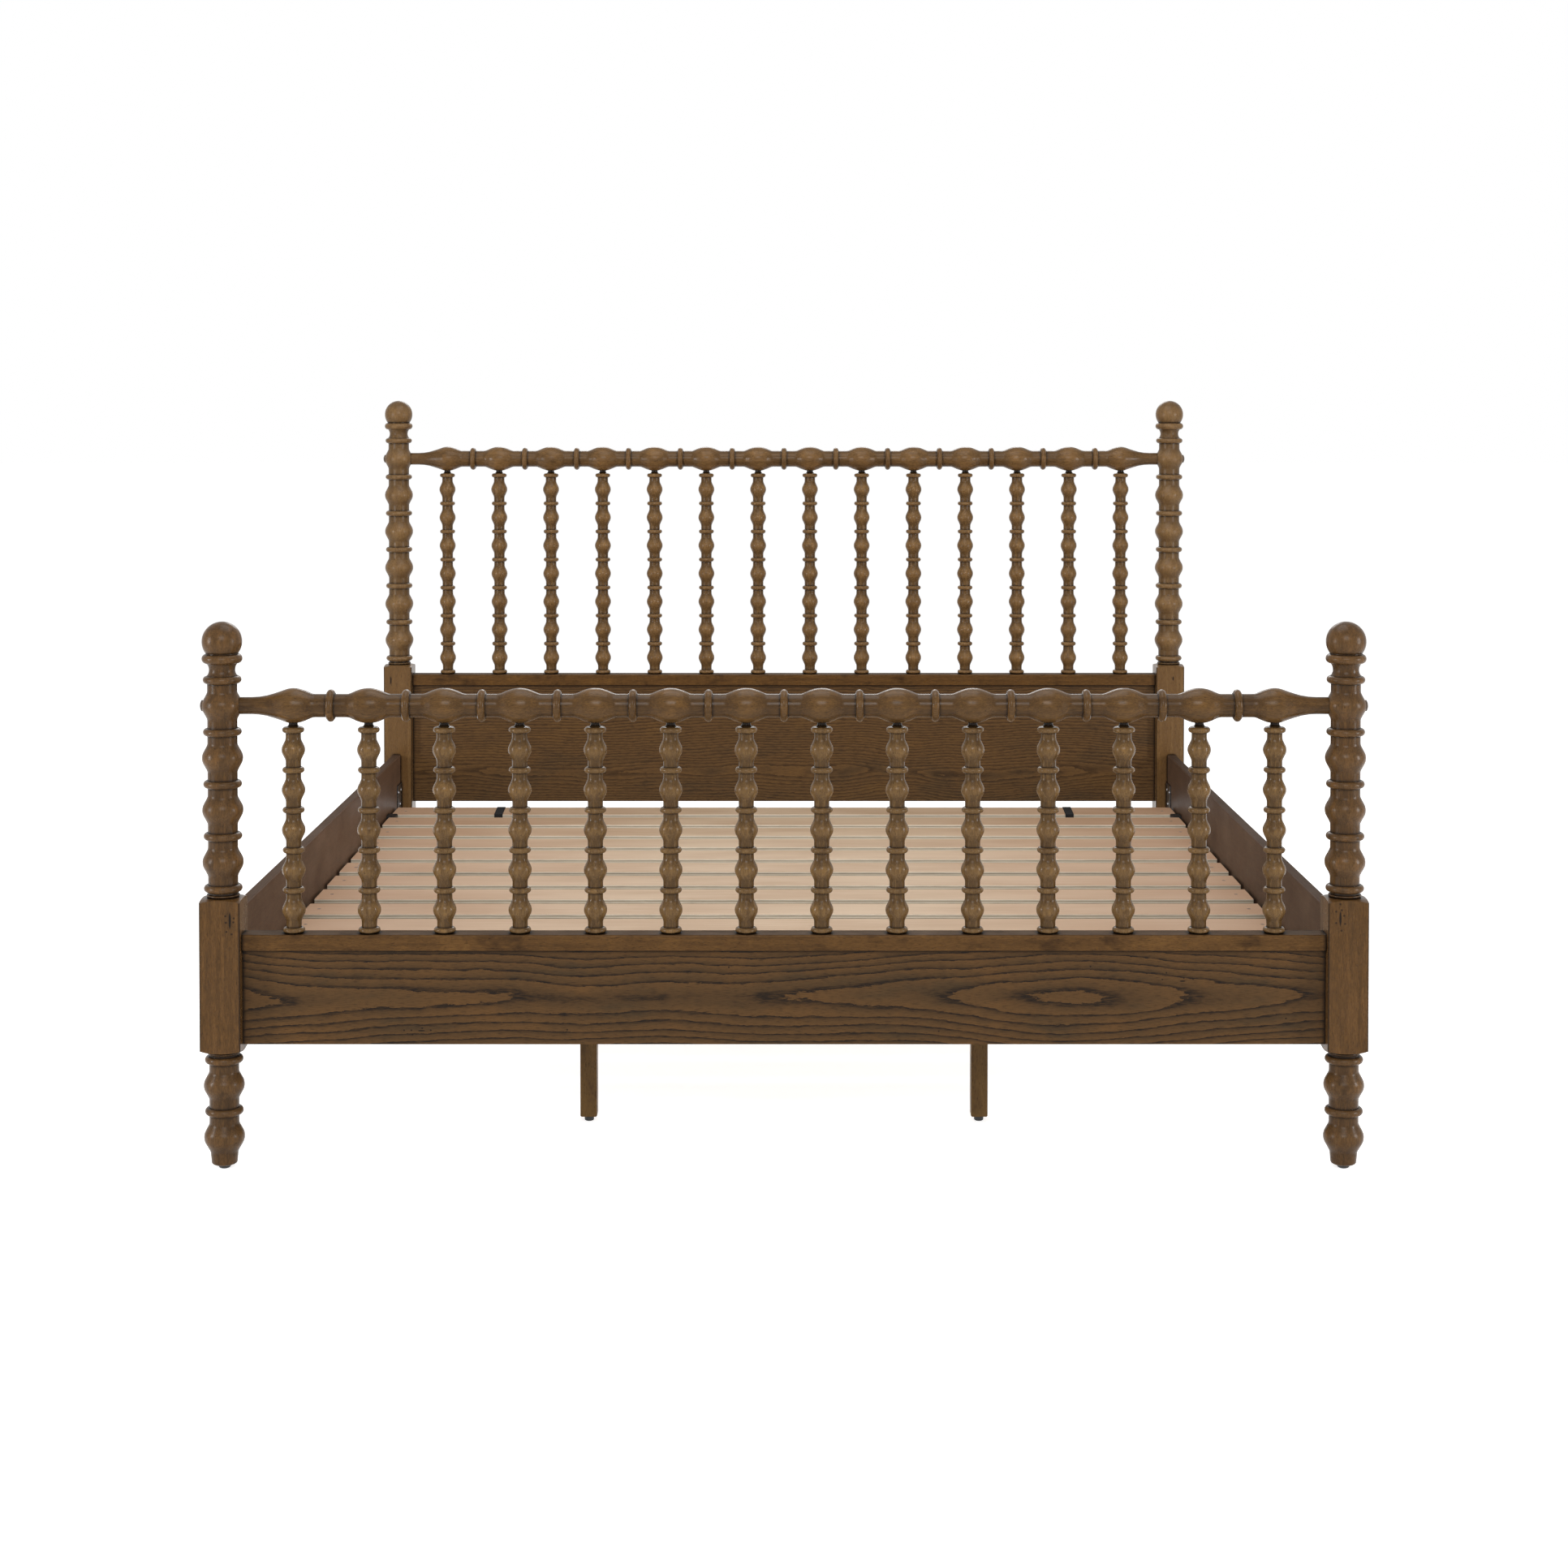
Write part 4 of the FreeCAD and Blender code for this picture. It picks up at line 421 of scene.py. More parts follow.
    def neck_shade(self, f: Finish, colour: bpy.types.NodeSocket,
             rough: bpy.types.NodeSocket) -> tuple:
        """Paint the spindles' top necks near black: painted shade under the rail, and glaze.

        Args:
            f: The material in hand.
            colour: Colour so far.
            rough: Roughness so far.

        Returns:
            The colour and the roughness with the necks in them.
        """
        head = f.add("Math", (f.y, 0.0), operation="GREATER_THAN")
        start = f.add("Math", (head, HEAD_RAIL_Z - FOOT_RAIL_Z, self.NECK_Z),
                      operation="MULTIPLY_ADD")
        above = f.add("Math", (f.z, start), operation="SUBTRACT")
        shaded_neck = f.add("MapRange", (above, -self.NECK_EDGE, self.NECK_EDGE, 0.0,
                                    self.POOL_SHARE))
        wet = f.add("Math", (shaded_neck, self.NECK_WET, rough), operation="MULTIPLY_ADD")
        return f.add("MixRGB", (shaded_neck, colour, self.POOL)), wet


@dataclass(frozen=True)
class OakVeneer:
    """Plain-sliced oak veneer on a board, stained brown, its open grain filled dark.

    The slice dips in and out of the growth rings, so they show as long nested flames along
    the middle and as close, nearly straight lines towards both edges. Each ring starts as a
    crisp dark line of open vessels, in short dashes, and fades outwards.
    """

    name: str
    middle: float  # height of the flames' middle line, metres
    depths: tuple  # (x in metres, growth rings between the heart and the face) along the board
    spacing_mm: float = 11.5  # between the rings, away from the middle line
    tip_mm: float = 35.0  # how blunt the flames' tips are
    wander_mm: float = 7.0  # how far the middle line drifts up and down
    tone: str = "#523b22"
    warm: str = "#5e4224"
    cold: str = "#443421"
    line: str = "#120a05"  # filler in the open grain
    strength: float = 1.0  # of the dark lines
    wavy: float = 1.0  # slow wandering of the rings, in rings
    ragged: float = 0.5  # unevenness of a ring's edge, in rings
    haze: float = 0.26  # share of a ring over which its dark line fades
    marks: tuple = ()

    DEPTH_RANGE = (-3.0, 2.0)  # rings that the float curve's 0 and 1 stand for
    DRIFT_MM = 330.0  # length of one drift of the middle line
    # stretch, size, octaves and their strength of the rings' slow wandering and uneven edges
    SLOW = ((0.22, 1.0, 1.0), 46.0, 2.0, 0.5)
    UNEVEN = ((0.2, 1.0, 1.0), 5.0, 4.0, 0.7)
    FADING = ((0.4, 0.95), (0.8, 0.6), (1.1, 0.25), (2.4, 0.0))  # hazes outwards, darkness left
    STAIN_LEVELS = (0.32, 0.48, 0.56, 0.70)  # of the patches: cold, plain, plain, warm
    LATE_WOOD, LATE_SHARE = (0.5, 0.95), 0.5  # where in a ring it starts and is full; strength
    DASH_LEVELS = (0.38, 0.56)  # of the dashes: in a gap of a line, and where it is full
    GAP_SHARE = 0.6  # what is left of a line in its gaps
    GROOVE_MM, GROOVE_SHARE = 9.0, 0.9  # reach and strength of the painted shade along the board's edges
    ROUGH = (0.48, 0.4)  # on the cold and on the warm patches
    RELIEF = (0.3, 0.25)  # strength and depth in mm of the open lines

    def rings(self, f: Finish) -> bpy.types.NodeSocket:
        """Growth rings counted outwards from the flames' middle line.

        Args:
            f: The material in hand.

        Returns:
            The count, with a whole number at each ring's edge.
        """
        low, high = self.DEPTH_RANGE
        # the float curve's 0 and 1 along the board are x = -1 and x = 1
        along = f.add("Math", (f.x, 0.5, 0.5), operation="MULTIPLY_ADD")
        points = sorted((x / 2 + 0.5, (depth - low) / (high - low)) for x, depth in self.depths)
        ordered = (points[0], points[-1], *points[1:-1])
        curve = f.add("FloatCurve", {"Value": along}, stops=ordered)
        depth = f.add("Math", (curve, high - low, low), operation="MULTIPLY_ADD")
        drift = f.pattern((1.0, 1.0, 0.0), self.DRIFT_MM, 1.0)
        wander = self.wander_mm * MM
        slant = f.add("MapRange", (drift, 0.25, 0.75, -wander, wander))
        level = f.add("Math", (f.z, self.middle), operation="SUBTRACT")
        rise = f.add("Math", (level, slant), operation="ADD")
        tip = self.tip_mm * MM
        square = f.add("Math", (rise, rise, tip * tip), operation="MULTIPLY_ADD")
        height = f.add("Math", (square,), operation="SQRT")
        above = f.add("Math", (height, tip), operation="SUBTRACT")
        spread = f.add("Math", (above, 1 / (self.spacing_mm * MM), depth),
                       operation="MULTIPLY_ADD")
        for shape, amount in ((self.SLOW, self.wavy), (self.UNEVEN, self.ragged)):
            spread = f.add("Math", (f.pattern(*shape), amount, spread),
                           operation="MULTIPLY_ADD")
        return f.add("Math", (spread, (self.wavy + self.ragged) / 2), operation="SUBTRACT")

    def build(self) -> bpy.types.Material:
        """Make the material.

        Returns:
            The material.
        """
        f = Finish(self.name)
        share = f.add("Math", (self.rings(f),), operation="FRACT")
        line = f.add("ValToRGB", (share,), stops=(
            (0.0, 0.0), (1.0, 0.0), (0.01, 1.0),
            *((self.haze * outwards, left) for outwards, left in self.FADING)))
        # rows of vessels and single ones, both drawn about four times too wide to show
        dashes = f.pattern((0.10, 1.0, 1.0), 1.7, 2.0, 0.6)
        pores = f.pattern((0.07, 1.0, 1.0), 1.1, 2.0, 0.6)
        patches = f.pattern((0.4, 1.0, 1.0), 60.0, 3.0, 0.6)
        stains = zip(self.STAIN_LEVELS, (self.cold, self.tone, self.tone, self.warm))
        colour = f.add("ValToRGB", (patches,), stops=tuple(stains))
        # the late wood just inside each dark line is the warmest
        late = f.add("MapRange", (share, *self.LATE_WOOD, 0.0, self.LATE_SHARE))
        colour = f.add("MixRGB", (late, colour, self.warm))
        gaps = f.add("MapRange", (dashes, *self.DASH_LEVELS, self.GAP_SHARE * self.strength,
                                  self.strength))
        broken = f.add("Math", (line, gaps), operation="MULTIPLY")
        colour = f.add("MixRGB", (broken, colour, self.line))
        # levels of the pores where the tint starts and is full, its strength and its colour
        for low, high, amount, tone in ((0.52, 0.70, 0.6, self.line),
                                        (0.46, 0.3, 0.25, self.warm)):
            open_grain = f.add("MapRange", (pores, low, high, 0.0, amount))
            colour = f.add("MixRGB", (open_grain, colour, tone))
        # painted shade in the corners along the board's edges
        grooves = f.hollow_shade(self.GROOVE_MM, self.GROOVE_SHARE)
        colour = f.add("MixRGB", (grooves, colour, GLAZE_AND_SHADE))
        height = f.add("Math", (broken, -1.0), operation="MULTIPLY")
        rough = f.add("MapRange", (patches, 0.3, 0.7, *self.ROUGH))
        return f.finish(f.worn(colour, self.marks), rough, LACQUER_IOR, SATIN,
                        (height, *self.RELIEF))


@dataclass(frozen=True)
class PoplarPlywood:
    """Plywood slats, faced with pale veneer and lightly sealed.

    The faces are pinkish cream with faint long fibres, with painted shade towards the ends.
    The sawn edges show greyish plies and thin dark glue lines under a painted highlight on
    the arris, and a ragged glue line half-way down that painted shade darkens.
    """

    name: str
    face: str = "#d2b89b"
    face_dark: str = "#c1a385"
    side: str = "#b98e6f"  # painted shade of the face towards the slats' ends

    END_SHADE_X = (0.25, 0.95)  # distances from the middle where that colour starts and is full
    END_SHADE_SHARE = 0.65
    PATCH_SHARE, FIBRE_SHARE = 0.6, 0.4  # of the face's blend of its two tones
    SAW_SHARE, SAW_START = 0.10, -0.05  # how ragged the plies are, in thicknesses
    SAWN_FACING = (0.25, 0.5)  # upright part of the normal on a sawn edge and on a face
    ROUGH = 0.55
    IOR, LEVEL = 1.46, 0.25  # thin sealer, mostly soaked in
    RELIEF = (0.08, 0.2)  # strength and depth in mm of the fibres' relief
    # down the sawn edge: share of the thickness and colour, with a painted highlight at the top
    # and painted shade on the dark glue lines from half-way down
    PLIES_LIT_AND_SHADED = (
        (0.0, "#f4ebde"), (1.0, "#aea38c"), (0.08, "#efe5d5"), (0.12, "#cfc3af"),
        (0.17, "#c4b8a3"), (0.20, "#8a7e6b"), (0.24, "#988c78"), (0.28, "#c9bda8"),
        (0.42, "#d6cab7"), (0.46, "#998d78"), (0.50, "#6c604e"), (0.54, "#bdb19b"),
        (0.66, "#b8ac96"), (0.70, "#6e6251"), (0.76, "#b2a690"), (0.86, "#857b66"))

    def build(self) -> bpy.types.Material:
        """Make the material.

        Returns:
            The material.
        """
        f = Finish(self.name)
        fibres = f.pattern((0.03, 1.0, 1.0), 3.2, 3.0, 0.6)
        patches = f.pattern((0.35, 1.0, 1.0), 120.0)
        fine = f.add("Math", (fibres, self.FIBRE_SHARE), operation="MULTIPLY")
        blend = f.add("Math", (patches, self.PATCH_SHARE, fine), operation="MULTIPLY_ADD")
        face = f.add("ValToRGB", (blend,), stops=((0.40, self.face_dark), (0.58, self.face)))
        # painted shade towards the slats' ends
        out = f.add("Math", (f.x,), operation="ABSOLUTE")
        far = f.add("MapRange", (out, *self.END_SHADE_X, 0.0, self.END_SHADE_SHARE))
        face = f.add("MixRGB", (far, face, self.side))
        saw = f.pattern((0.08, 1.0, 1.0), 4.0, 3.0, 0.65)
        down = f.add("MapRange", (f.z, SLAT_TOP, SLAT_TOP - SLAT_THICK, self.SAW_START,
                                  1 + self.SAW_START))
        level = f.add("Math", (saw, self.SAW_SHARE, down), operation="MULTIPLY_ADD")
        # plies, with a painted highlight on the arris and painted shade from half-way down
        lit_and_shaded_plies = f.add("ValToRGB", (level,), stops=self.PLIES_LIT_AND_SHADED)
        upright = f.add("Math", (f.upward(),), operation="ABSOLUTE")
        edge = f.add("MapRange", (upright, *self.SAWN_FACING, 1.0, 0.0))
        colour = f.add("MixRGB", (edge, face, lit_and_shaded_plies))
        return f.finish(colour, self.ROUGH, self.IOR, self.LEVEL, (fibres, *self.RELIEF))


@dataclass(frozen=True)
class WovenWebbing:
    """Black polyester webbing: a tight twill that shows as fine slanted ribs, matt."""

    name: str
    tone: str = "#0d0d0e"
    lit: str = "#202022"
    rib_mm: float = 1.6  # spacing of the ribs, drawn about three times too wide to show

    ROUGH, IOR, LEVEL = 0.85, 1.5, 0.3
    RELIEF = (0.6, 0.3)  # strength and depth in mm of the ribs

    def build(self) -> bpy.types.Material:
        """Make the material.

        Returns:
            The material.
        """
        f = Finish(self.name)
        rib = f.add("TexWave", {"Vector": f.place, "Scale": 1 / (self.rib_mm * MM * math.tau),
                                "Distortion": 0.4}, out=1, wave_type="BANDS",
                    bands_direction="DIAGONAL")
        colour = f.add("MixRGB", (rib, self.tone, self.lit))
        return f.finish(colour, self.ROUGH, self.IOR, self.LEVEL, (rib, *self.RELIEF))


@dataclass(frozen=True)
class MouldedNylon:
    """Moulded black nylon with a spark-eroded surface: dark, with a soft broad sheen."""

    name: str
    tone: str = "#100f0e"
    dust: str = "#201e1c"
    grit_mm: float = 0.8
    dust_mm: float = 9.6  # width of a dusty patch

    ROUGH = (0.4, 0.6)  # between and on the grains of the grit
    IOR = 1.53
    RELIEF = (0.25, 0.1)  # strength and depth in mm of the grit

    def build(self) -> bpy.types.Material:
        """Make the material.

        Returns:
            The material.
        """
        f = Finish(self.name)
        grit = f.pattern(ALL_ROUND, self.grit_mm)
        dusty = f.add("MapRange", (f.pattern(ALL_ROUND, self.dust_mm), 0.4, 0.7, 0.0, 0.6))
        colour = f.add("MixRGB", (dusty, self.tone, self.dust))
        rough = f.add("MapRange", (grit, 0.3, 0.8, *self.ROUGH))
        return f.finish(colour, rough, self.IOR, relief=(grit, *self.RELIEF))


@dataclass(frozen=True)
class PlatedSteel:
    """Pressed steel with a thin plating or lacquer: a faint streaky sheen."""

    name: str
    tone: str
    shade: str  # of the darker streaks
    metal: float
    rough: float
    streak_mm: float = 3.0

    DIRT, DIRT_SHARE, DIRT_MM = "#141210", 0.7, 3.0  # painted shade in the corners; its strength and reach
    DULLER, GLOSSIER = 0.1, 0.06  # change of roughness between the streaks
    IOR = 1.5

    def build(self) -> bpy.types.Material:
        """Make the material.

        Returns:
            The material.
        """
        f = Finish(self.name)
        streaks = f.pattern(ALL_ROUND, self.streak_mm, 3.0)
        colour = f.add("MixRGB", (streaks, self.tone, self.shade))
        # painted shade in the corners
        corners = f.hollow_shade(self.DIRT_MM, self.DIRT_SHARE)
        colour = f.add("MixRGB", (corners, colour, self.DIRT))
        rough = f.add("MapRange", (streaks, 0.3, 0.7, self.rough - self.GLOSSIER,
                                   self.rough + self.DULLER))
        f.shader.inputs["Metallic"].default_value = self.metal
        return f.finish(colour, rough, self.IOR)


# ------------------------------------------------------------------ sub-assemblies
def cover(names: list, material: bpy.types.Material) -> None:
    """Put one material on every slot of the named CAD nodes.

    Args:
        names: CAD nodes.
        material: Their material.
    """
    for name in names:
        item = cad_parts[name]
        if not item.material_slots:
            item.data.materials.append(material)
        for slot in item.material_slots:
            slot.material = material
        log.info("covered %s with %s", name, material.name)


def nodes_with(*words: str) -> list:
    """Names of the CAD nodes that hold every one of the words."""
    return sorted(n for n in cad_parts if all(w in n for w in words))


@dataclass(frozen=True)
class End:
    """Colours of one end of the bed; the head end's turned pieces are painted paler, as painted
    light.

    Each turned piece has its plain tone, where the stain is thin, where it is thick, and
    the painted shade of its waists.
    """

    name: str
    block_top: float  # height of the top of the posts' square blocks
    block: str  # tone of those blocks
    posts: tuple
    rail: tuple
    spindles: tuple


@dataclass
class TurnedFrame:
    """Posts, top rails and spindles."""

    foot_face: float = -POST_Y - BLOCK_HALF  # front of the foot posts' blocks
    head_face: float = POST_Y - BLOCK_HALF
    mark_deep: float = 0.01  # half the reach of a mark into the wood
    hole: float = 0.0016  # half the width of a worm hole
    hole_share: float = 0.75  # strength of a worm hole's dark inside
    # cracks: x, z, half width and half height; worm holes: x and z
    foot_cracks: tuple = ((-0.9614, 0.4415, 0.0019, 0.0125), (0.9652, 0.4450, 0.0016, 0.0115))
    head_cracks: tuple = ((-0.9971, 0.6214, 0.0017, 0.009), (0.9872, 0.6265, 0.0015, 0.005))
    foot_holes: tuple = (
        (-0.9691, 0.4493), (-0.9684, 0.4380), (-0.9545, 0.4456), (-0.9552, 0.4387),
        (-0.9674, 0.4220), (-0.9583, 0.4177), (0.9578, 0.4575), (0.9675, 0.4599),
        (0.9715, 0.4501), (0.9579, 0.4374), (0.9734, 0.4360), (0.9670, 0.4241), (0.9650, 0.4705))

    block_bottom: float = 0.207
    # the head end's turned pieces are painted paler than the foot end's: painted light, for more
    # light falls on them
    ends: tuple = (
        End("foot", 0.477, "#583c1c", posts=("#5f4529", "#745330", "#3f2d1a", "#402d1a"),
            rail=("#604628", "#73532d", "#432f1a", "#402d1a"),
            spindles=("#6f5535", "#84653d", "#543e25", "#32210f")),
        End("head", 0.660, "#5f4323", posts=("#7a5e3d", "#8b6d47", "#644b30", "#4a3722"),
            rail=("#705332", "#83623c", "#523c23", "#46331e"),
            spindles=("#785b39", "#8c6c44", "#5c4429", "#37250f")))

    def marks(self) -> tuple:
        """Cracks and worm holes of the posts' blocks.

        Returns:
            The marks.
        """
        cracks = [Mark((x, face, z), (half, self.mark_deep, tall))
                  for face, shapes in ((self.foot_face, self.foot_cracks),
                                       (self.head_face, self.head_cracks))
                  for x, z, half, tall in shapes]
        holes = [Mark((x, self.foot_face, z), (self.hole, self.mark_deep, self.hole),
                      self.hole_share) for x, z in self.foot_holes]
        return tuple(cracks + holes)

    def dress(self) -> None:
        """Give the posts, rails and spindles their stain, grain along each piece."""
        for end in self.ends:
            wood = StainedHardwood(
                "stained_%s_post_wood" % end.name, Grain.Z, Turning.POST, *end.posts,
                block=(self.block_bottom, end.block_top, end.block), rough=0.27,
                marks=self.marks())
            cover([n for n in nodes_with(end.name + "_post_") if "glide" not in n], wood.build())
            wood = StainedHardwood(
                "stained_%s_rail_wood" % end.name, Grain.X, Turning.RAIL, *end.rail,
                figure_mm=10.0, waist_mm=20.8, crest_mm=29.8, rough=0.23)
            cover([end.name + "_top_rail"], wood.build())
            wood = StainedHardwood(
                "stained_%s_spindle_wood" % end.name, Grain.Z, Turning.SPINDLE, *end.spindles,
                mottle_mm=20.0, figure_mm=6.0, groove_mm=5.0, waist_mm=13.8, crest_mm=19.5,
                rough=0.23)
            cover(nodes_with(end.name + "_spindle_"), wood.build())


@dataclass
class Panels:
    """Caps, foot board, head panel and side rails."""

    board_face: float = -POST_Y - 0.012
    board_middle: float = 0.302  # heights of the flames' middle lines
    panel_middle: float = 0.385
    mark_deep: float = 0.01  # half the reach of a mark into the board
    mark_share: float = 0.8  # strength of its dark inside
    # worm holes and short cracks of the foot board: x, z, half width and half height
    board_marks: tuple = (
        (-0.6327, 0.2438, 0.0055, 0.0014), (-0.6630, 0.2446, 0.0015, 0.0013),
        (-0.6504, 0.2446, 0.0015, 0.0013), (-0.6166, 0.2446, 0.0016, 0.0013),
        (-0.6485, 0.2370, 0.0015, 0.0013), (-0.6315, 0.2481, 0.0015, 0.0012),
        (0.6975, 0.3364, 0.0014, 0.0014), (0.6672, 0.3455, 0.0014, 0.0013),
        (0.6955, 0.3308, 0.0045, 0.0013), (0.7136, 0.3344, 0.0015, 0.0013),
        (0.6601, 0.3336, 0.0014, 0.0012), (0.5346, 0.3565, 0.0014, 0.0014),
        (0.8760, 0.2652, 0.0016, 0.0014), (-0.0962, 0.3550, 0.0014, 0.0013),
        (-0.3785, 0.2454, 0.0015, 0.0014), (0.2701, 0.2430, 0.0014, 0.0013))
    # how the foot board's and head panel's slices dip: x, and rings from heart to face
    board_depths: tuple = (
        (-0.943, -1.4), (-0.888, -1.0), (-0.810, -0.6), (-0.542, 0.0), (-0.400, 0.22),
        (-0.275, 0.35), (-0.150, 0.25), (0.016, 0.0), (0.295, -1.0), (0.400, -1.75),
        (0.456, -2.0), (0.506, -2.1), (0.556, -2.0), (0.620, -1.7), (0.706, -1.0),
        (0.892, 0.0), (0.946, 0.3))
    panel_depths: tuple = (
        (-0.95, 1.3), (-0.5, 0.6), (-0.136, -0.4), (0.15, -0.8), (0.3, 0.6), (0.42, -0.5),
        (0.535, -0.7), (0.75, 0.5), (0.95, 1.4))

    caps: StainedHardwood = StainedHardwood(
        "stained_cap_wood", Grain.X, tone="#5d4225", thin="#6c4d2a", dark="#3f2c1a",
        figure_mm=6.0, groove_mm=9.0, top_shade=0.45, gloss=0.07)
    # stain of each side rail: its tone, its thin and its dark stain; the right one's are painted
    # darker, as painted shade
    side_tones: tuple = (("left", ("#624b3a", "#69513f", "#574335")),
                         ("right", ("#574335", "#5e4939", "#4d3c30")))

    def dress(self) -> None:
        """Give the boards their veneer and the caps and side rails their stain."""
        marks = tuple(
            Mark((x, self.board_face, z), (half, self.mark_deep, tall), self.mark_share)
            for x, z, half, tall in self.board_marks)
        board = OakVeneer("oak_foot_board", self.board_middle, self.board_depths, marks=marks)
        cover(["foot_board"], board.build())
        panel = OakVeneer("oak_head_panel", self.panel_middle, self.panel_depths, spacing_mm=7.0,
                          tip_mm=14.0, tone="#5d4429", warm="#684c2c", cold="#4e3b26",
                          line="#24170d", strength=0.7, wavy=3.0, ragged=0.8, haze=0.42)
        cover(["head_panel"], panel.build())
        cover(nodes_with("_rail_cap"), self.caps.build())
        for side, tones in self.side_tones:
            wood = StainedHardwood("stained_%s_side_wood" % side, Grain.Y, Turning.NONE, *tones,
                                   mottle_mm=120.0, fibre_mm=3.0, top_shade=0.4, rough=0.42,
                                   gloss=0.09)
            cover(nodes_with("side_rail_", side), wood.build())


@dataclass
class SlatDeck:
    """Slats, ledgers, beams, centre legs and the webbing loops."""

    strap_x: float = 0.706  # middle of a loop, left or right
    strap_wide: float = 0.0205
    strap_thick: float = 0.0014
    strap_lean: float = 0.004  # how far a loop leans outwards over the slat's width
    strap_gap: float = 0.0001  # between slat and webbing
    strap_bend: float = 0.75  # radius of the webbing's corners, in thicknesses
    bend_points: int = 5  # points round a corner
    slat_middle: float = POST_Y - 0.175  # of the slat nearest the head
    slat_wide: float = 0.108
    slats: PoplarPlywood = PoplarPlywood("sealed_plywood")
    # the legs are painted paler than the other stained wood: painted light against the bed's
    # shadow on them
    legs: StainedHardwood = StainedHardwood(
        "stained_leg_wood_painted_lit", Grain.Z, tone="#745831", thin="#80623a", dark="#5d462b")
    beams: StainedHardwood = StainedHardwood(
        "stained_beam_wood", Grain.X, tone="#4e3b2a", thin="#58442f")
    # the ledgers are painted near black: dark stain and painted shade under the slats' ends
    ledgers: StainedHardwood = StainedHardwood(
        "stained_ledger_wood_painted_shade", Grain.Y, tone="#332820", thin="#3d3027", dark="#281e17")
    webbing: WovenWebbing = WovenWebbing("black_webbing")

    def dress(self) -> None:
        """Give the deck's CAD nodes their finishes."""
        cover(["bed_slats"], self.slats.build())
        cover(["centre_legs"], self.legs.build())
        cover(["support_beams"], self.beams.build())
        cover(nodes_with("side_ledger"), self.ledgers.build())

    def loop_path(self) -> list:
        """Section of a loop round the slat, as (y, z) points, corners rounded.

        Returns:
            Points of the middle of the webbing, in order round the slat.
        """
        gap = self.strap_gap + self.strap_thick / 2
        radius = self.strap_thick * self.strap_bend
        right, top = self.slat_wide / 2 + gap - radius, SLAT_TOP + gap - radius
        bottom = SLAT_TOP - SLAT_THICK - gap + radius
        turn = 90 / (self.bend_points - 1)
        points = []
        for y, z, start in ((right, top, 0), (-right, top, 90), (-right, bottom, 180),
                            (right, bottom, 270)):
            for step in range(self.bend_points):
                angle = math.radians(start + step * turn)
                points.append((y + radius * math.cos(angle), z + radius * math.sin(angle)))
        return points

    def loop_mesh(self, sign: int) -> bmesh.types.BMesh:
        """Band of one loop, which leans outwards over the slat's width.

        Args:
            sign: -1 for the left loop and 1 for the right one.

        Returns:
            The band, which the caller frees.
        """
        path = self.loop_path()
        half, count = self.strap_thick / 2, len(path)
        mesh = bmesh.new()
        rows = []
        for index, (y, z) in enumerate(path):
            before, after = path[index - 1], path[(index + 1) % count]
            ty, tz = after[0] - before[0], after[1] - before[1]
            length = math.hypot(ty, tz)
            ny, nz = tz / length, -ty / length
            lean = sign * self.strap_lean * y / self.slat_wide
            rows.append([mesh.verts.new((
                sign * self.strap_x + side * self.strap_wide / 2 + lean,
                self.slat_middle + y + out * half * ny, z + out * half * nz))
                for side, out in ((-1, 1), (1, 1), (1, -1), (-1, -1))])
        for index, here in enumerate(rows):
            after = rows[(index + 1) % count]
            for corner in range(4):
                other = (corner + 1) % 4
                mesh.faces.new((here[corner], here[other], after[other], after[corner]))
        bmesh.ops.recalc_face_normals(mesh, faces=mesh.faces)
        return mesh

    def build_loops(self) -> None:
        """Make the two webbing loops in place of the CAD ones."""
        webbing = self.webbing.build()
        for side_name, sign in (("left", -1), ("right", 1)):
            mesh = self.loop_mesh(sign)
            data = bpy.data.meshes.new("webbing_loop_" + side_name)
            mesh.to_mesh(data)
            mesh.free()
            piece = bpy.data.objects.new("webbing_loop_" + side_name, data)
            bpy.context.scene.collection.objects.link(piece)
            data.materials.append(webbing)
            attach(piece, ROOT)
            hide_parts("slat_straps")
            log.info("built %s", piece.name)


@dataclass
class Fittings:
    """Glides, stops, hook plates, screws and bolts."""

    nylon: MouldedNylon = MouldedNylon("black_nylon")
    metals: tuple = (
        ("rail_hook_plates", PlatedSteel("dull_zinc", "#a0a2a5", "#6c6e71", 1.0, 0.3)),
        ("hook_plate_screws", PlatedSteel("bright_zinc", "#c9c9cc", "#9a9a9d", 1.0, 0.25)),
        ("slat_screws", PlatedSteel("browned_screws", "#5b3a2c", "#3a261e", 0.4, 0.4)),
        ("rail_bolts", PlatedSteel("brown_lacquered_steel", "#5a4632", "#3c2e22", 0.0, 0.42)))

    def dress(self) -> None:
        """Give the fittings their metals and the glides and stops their nylon."""
        cover(nodes_with("glide") + ["slat_stops"], self.nylon.build())
        for name, metal in self.metals:
            cover([name], metal.build())


# ------------------------------------------------------------------ studio
@dataclass(frozen=True)
class SoftBox:
    """A rectangular studio light that points at one spot."""

    name: str
    at: tuple
    towards: tuple
    size: tuple  # width and height, metres
    watts: float

    def build(self) -> None:
        """Put the light in the scene."""
        lamp = bpy.data.lights.new(self.name, "AREA")
        lamp.shape = "RECTANGLE"
        lamp.size, lamp.size_y = self.size
        lamp.energy = self.watts
        holder = bpy.data.objects.new(self.name, lamp)
        holder.location = self.at
        direction = Vector(self.towards) - Vector(self.at)
        holder.rotation_euler = direction.to_track_quat("-Z", "Y").to_euler()
        bpy.context.scene.collection.objects.link(holder)


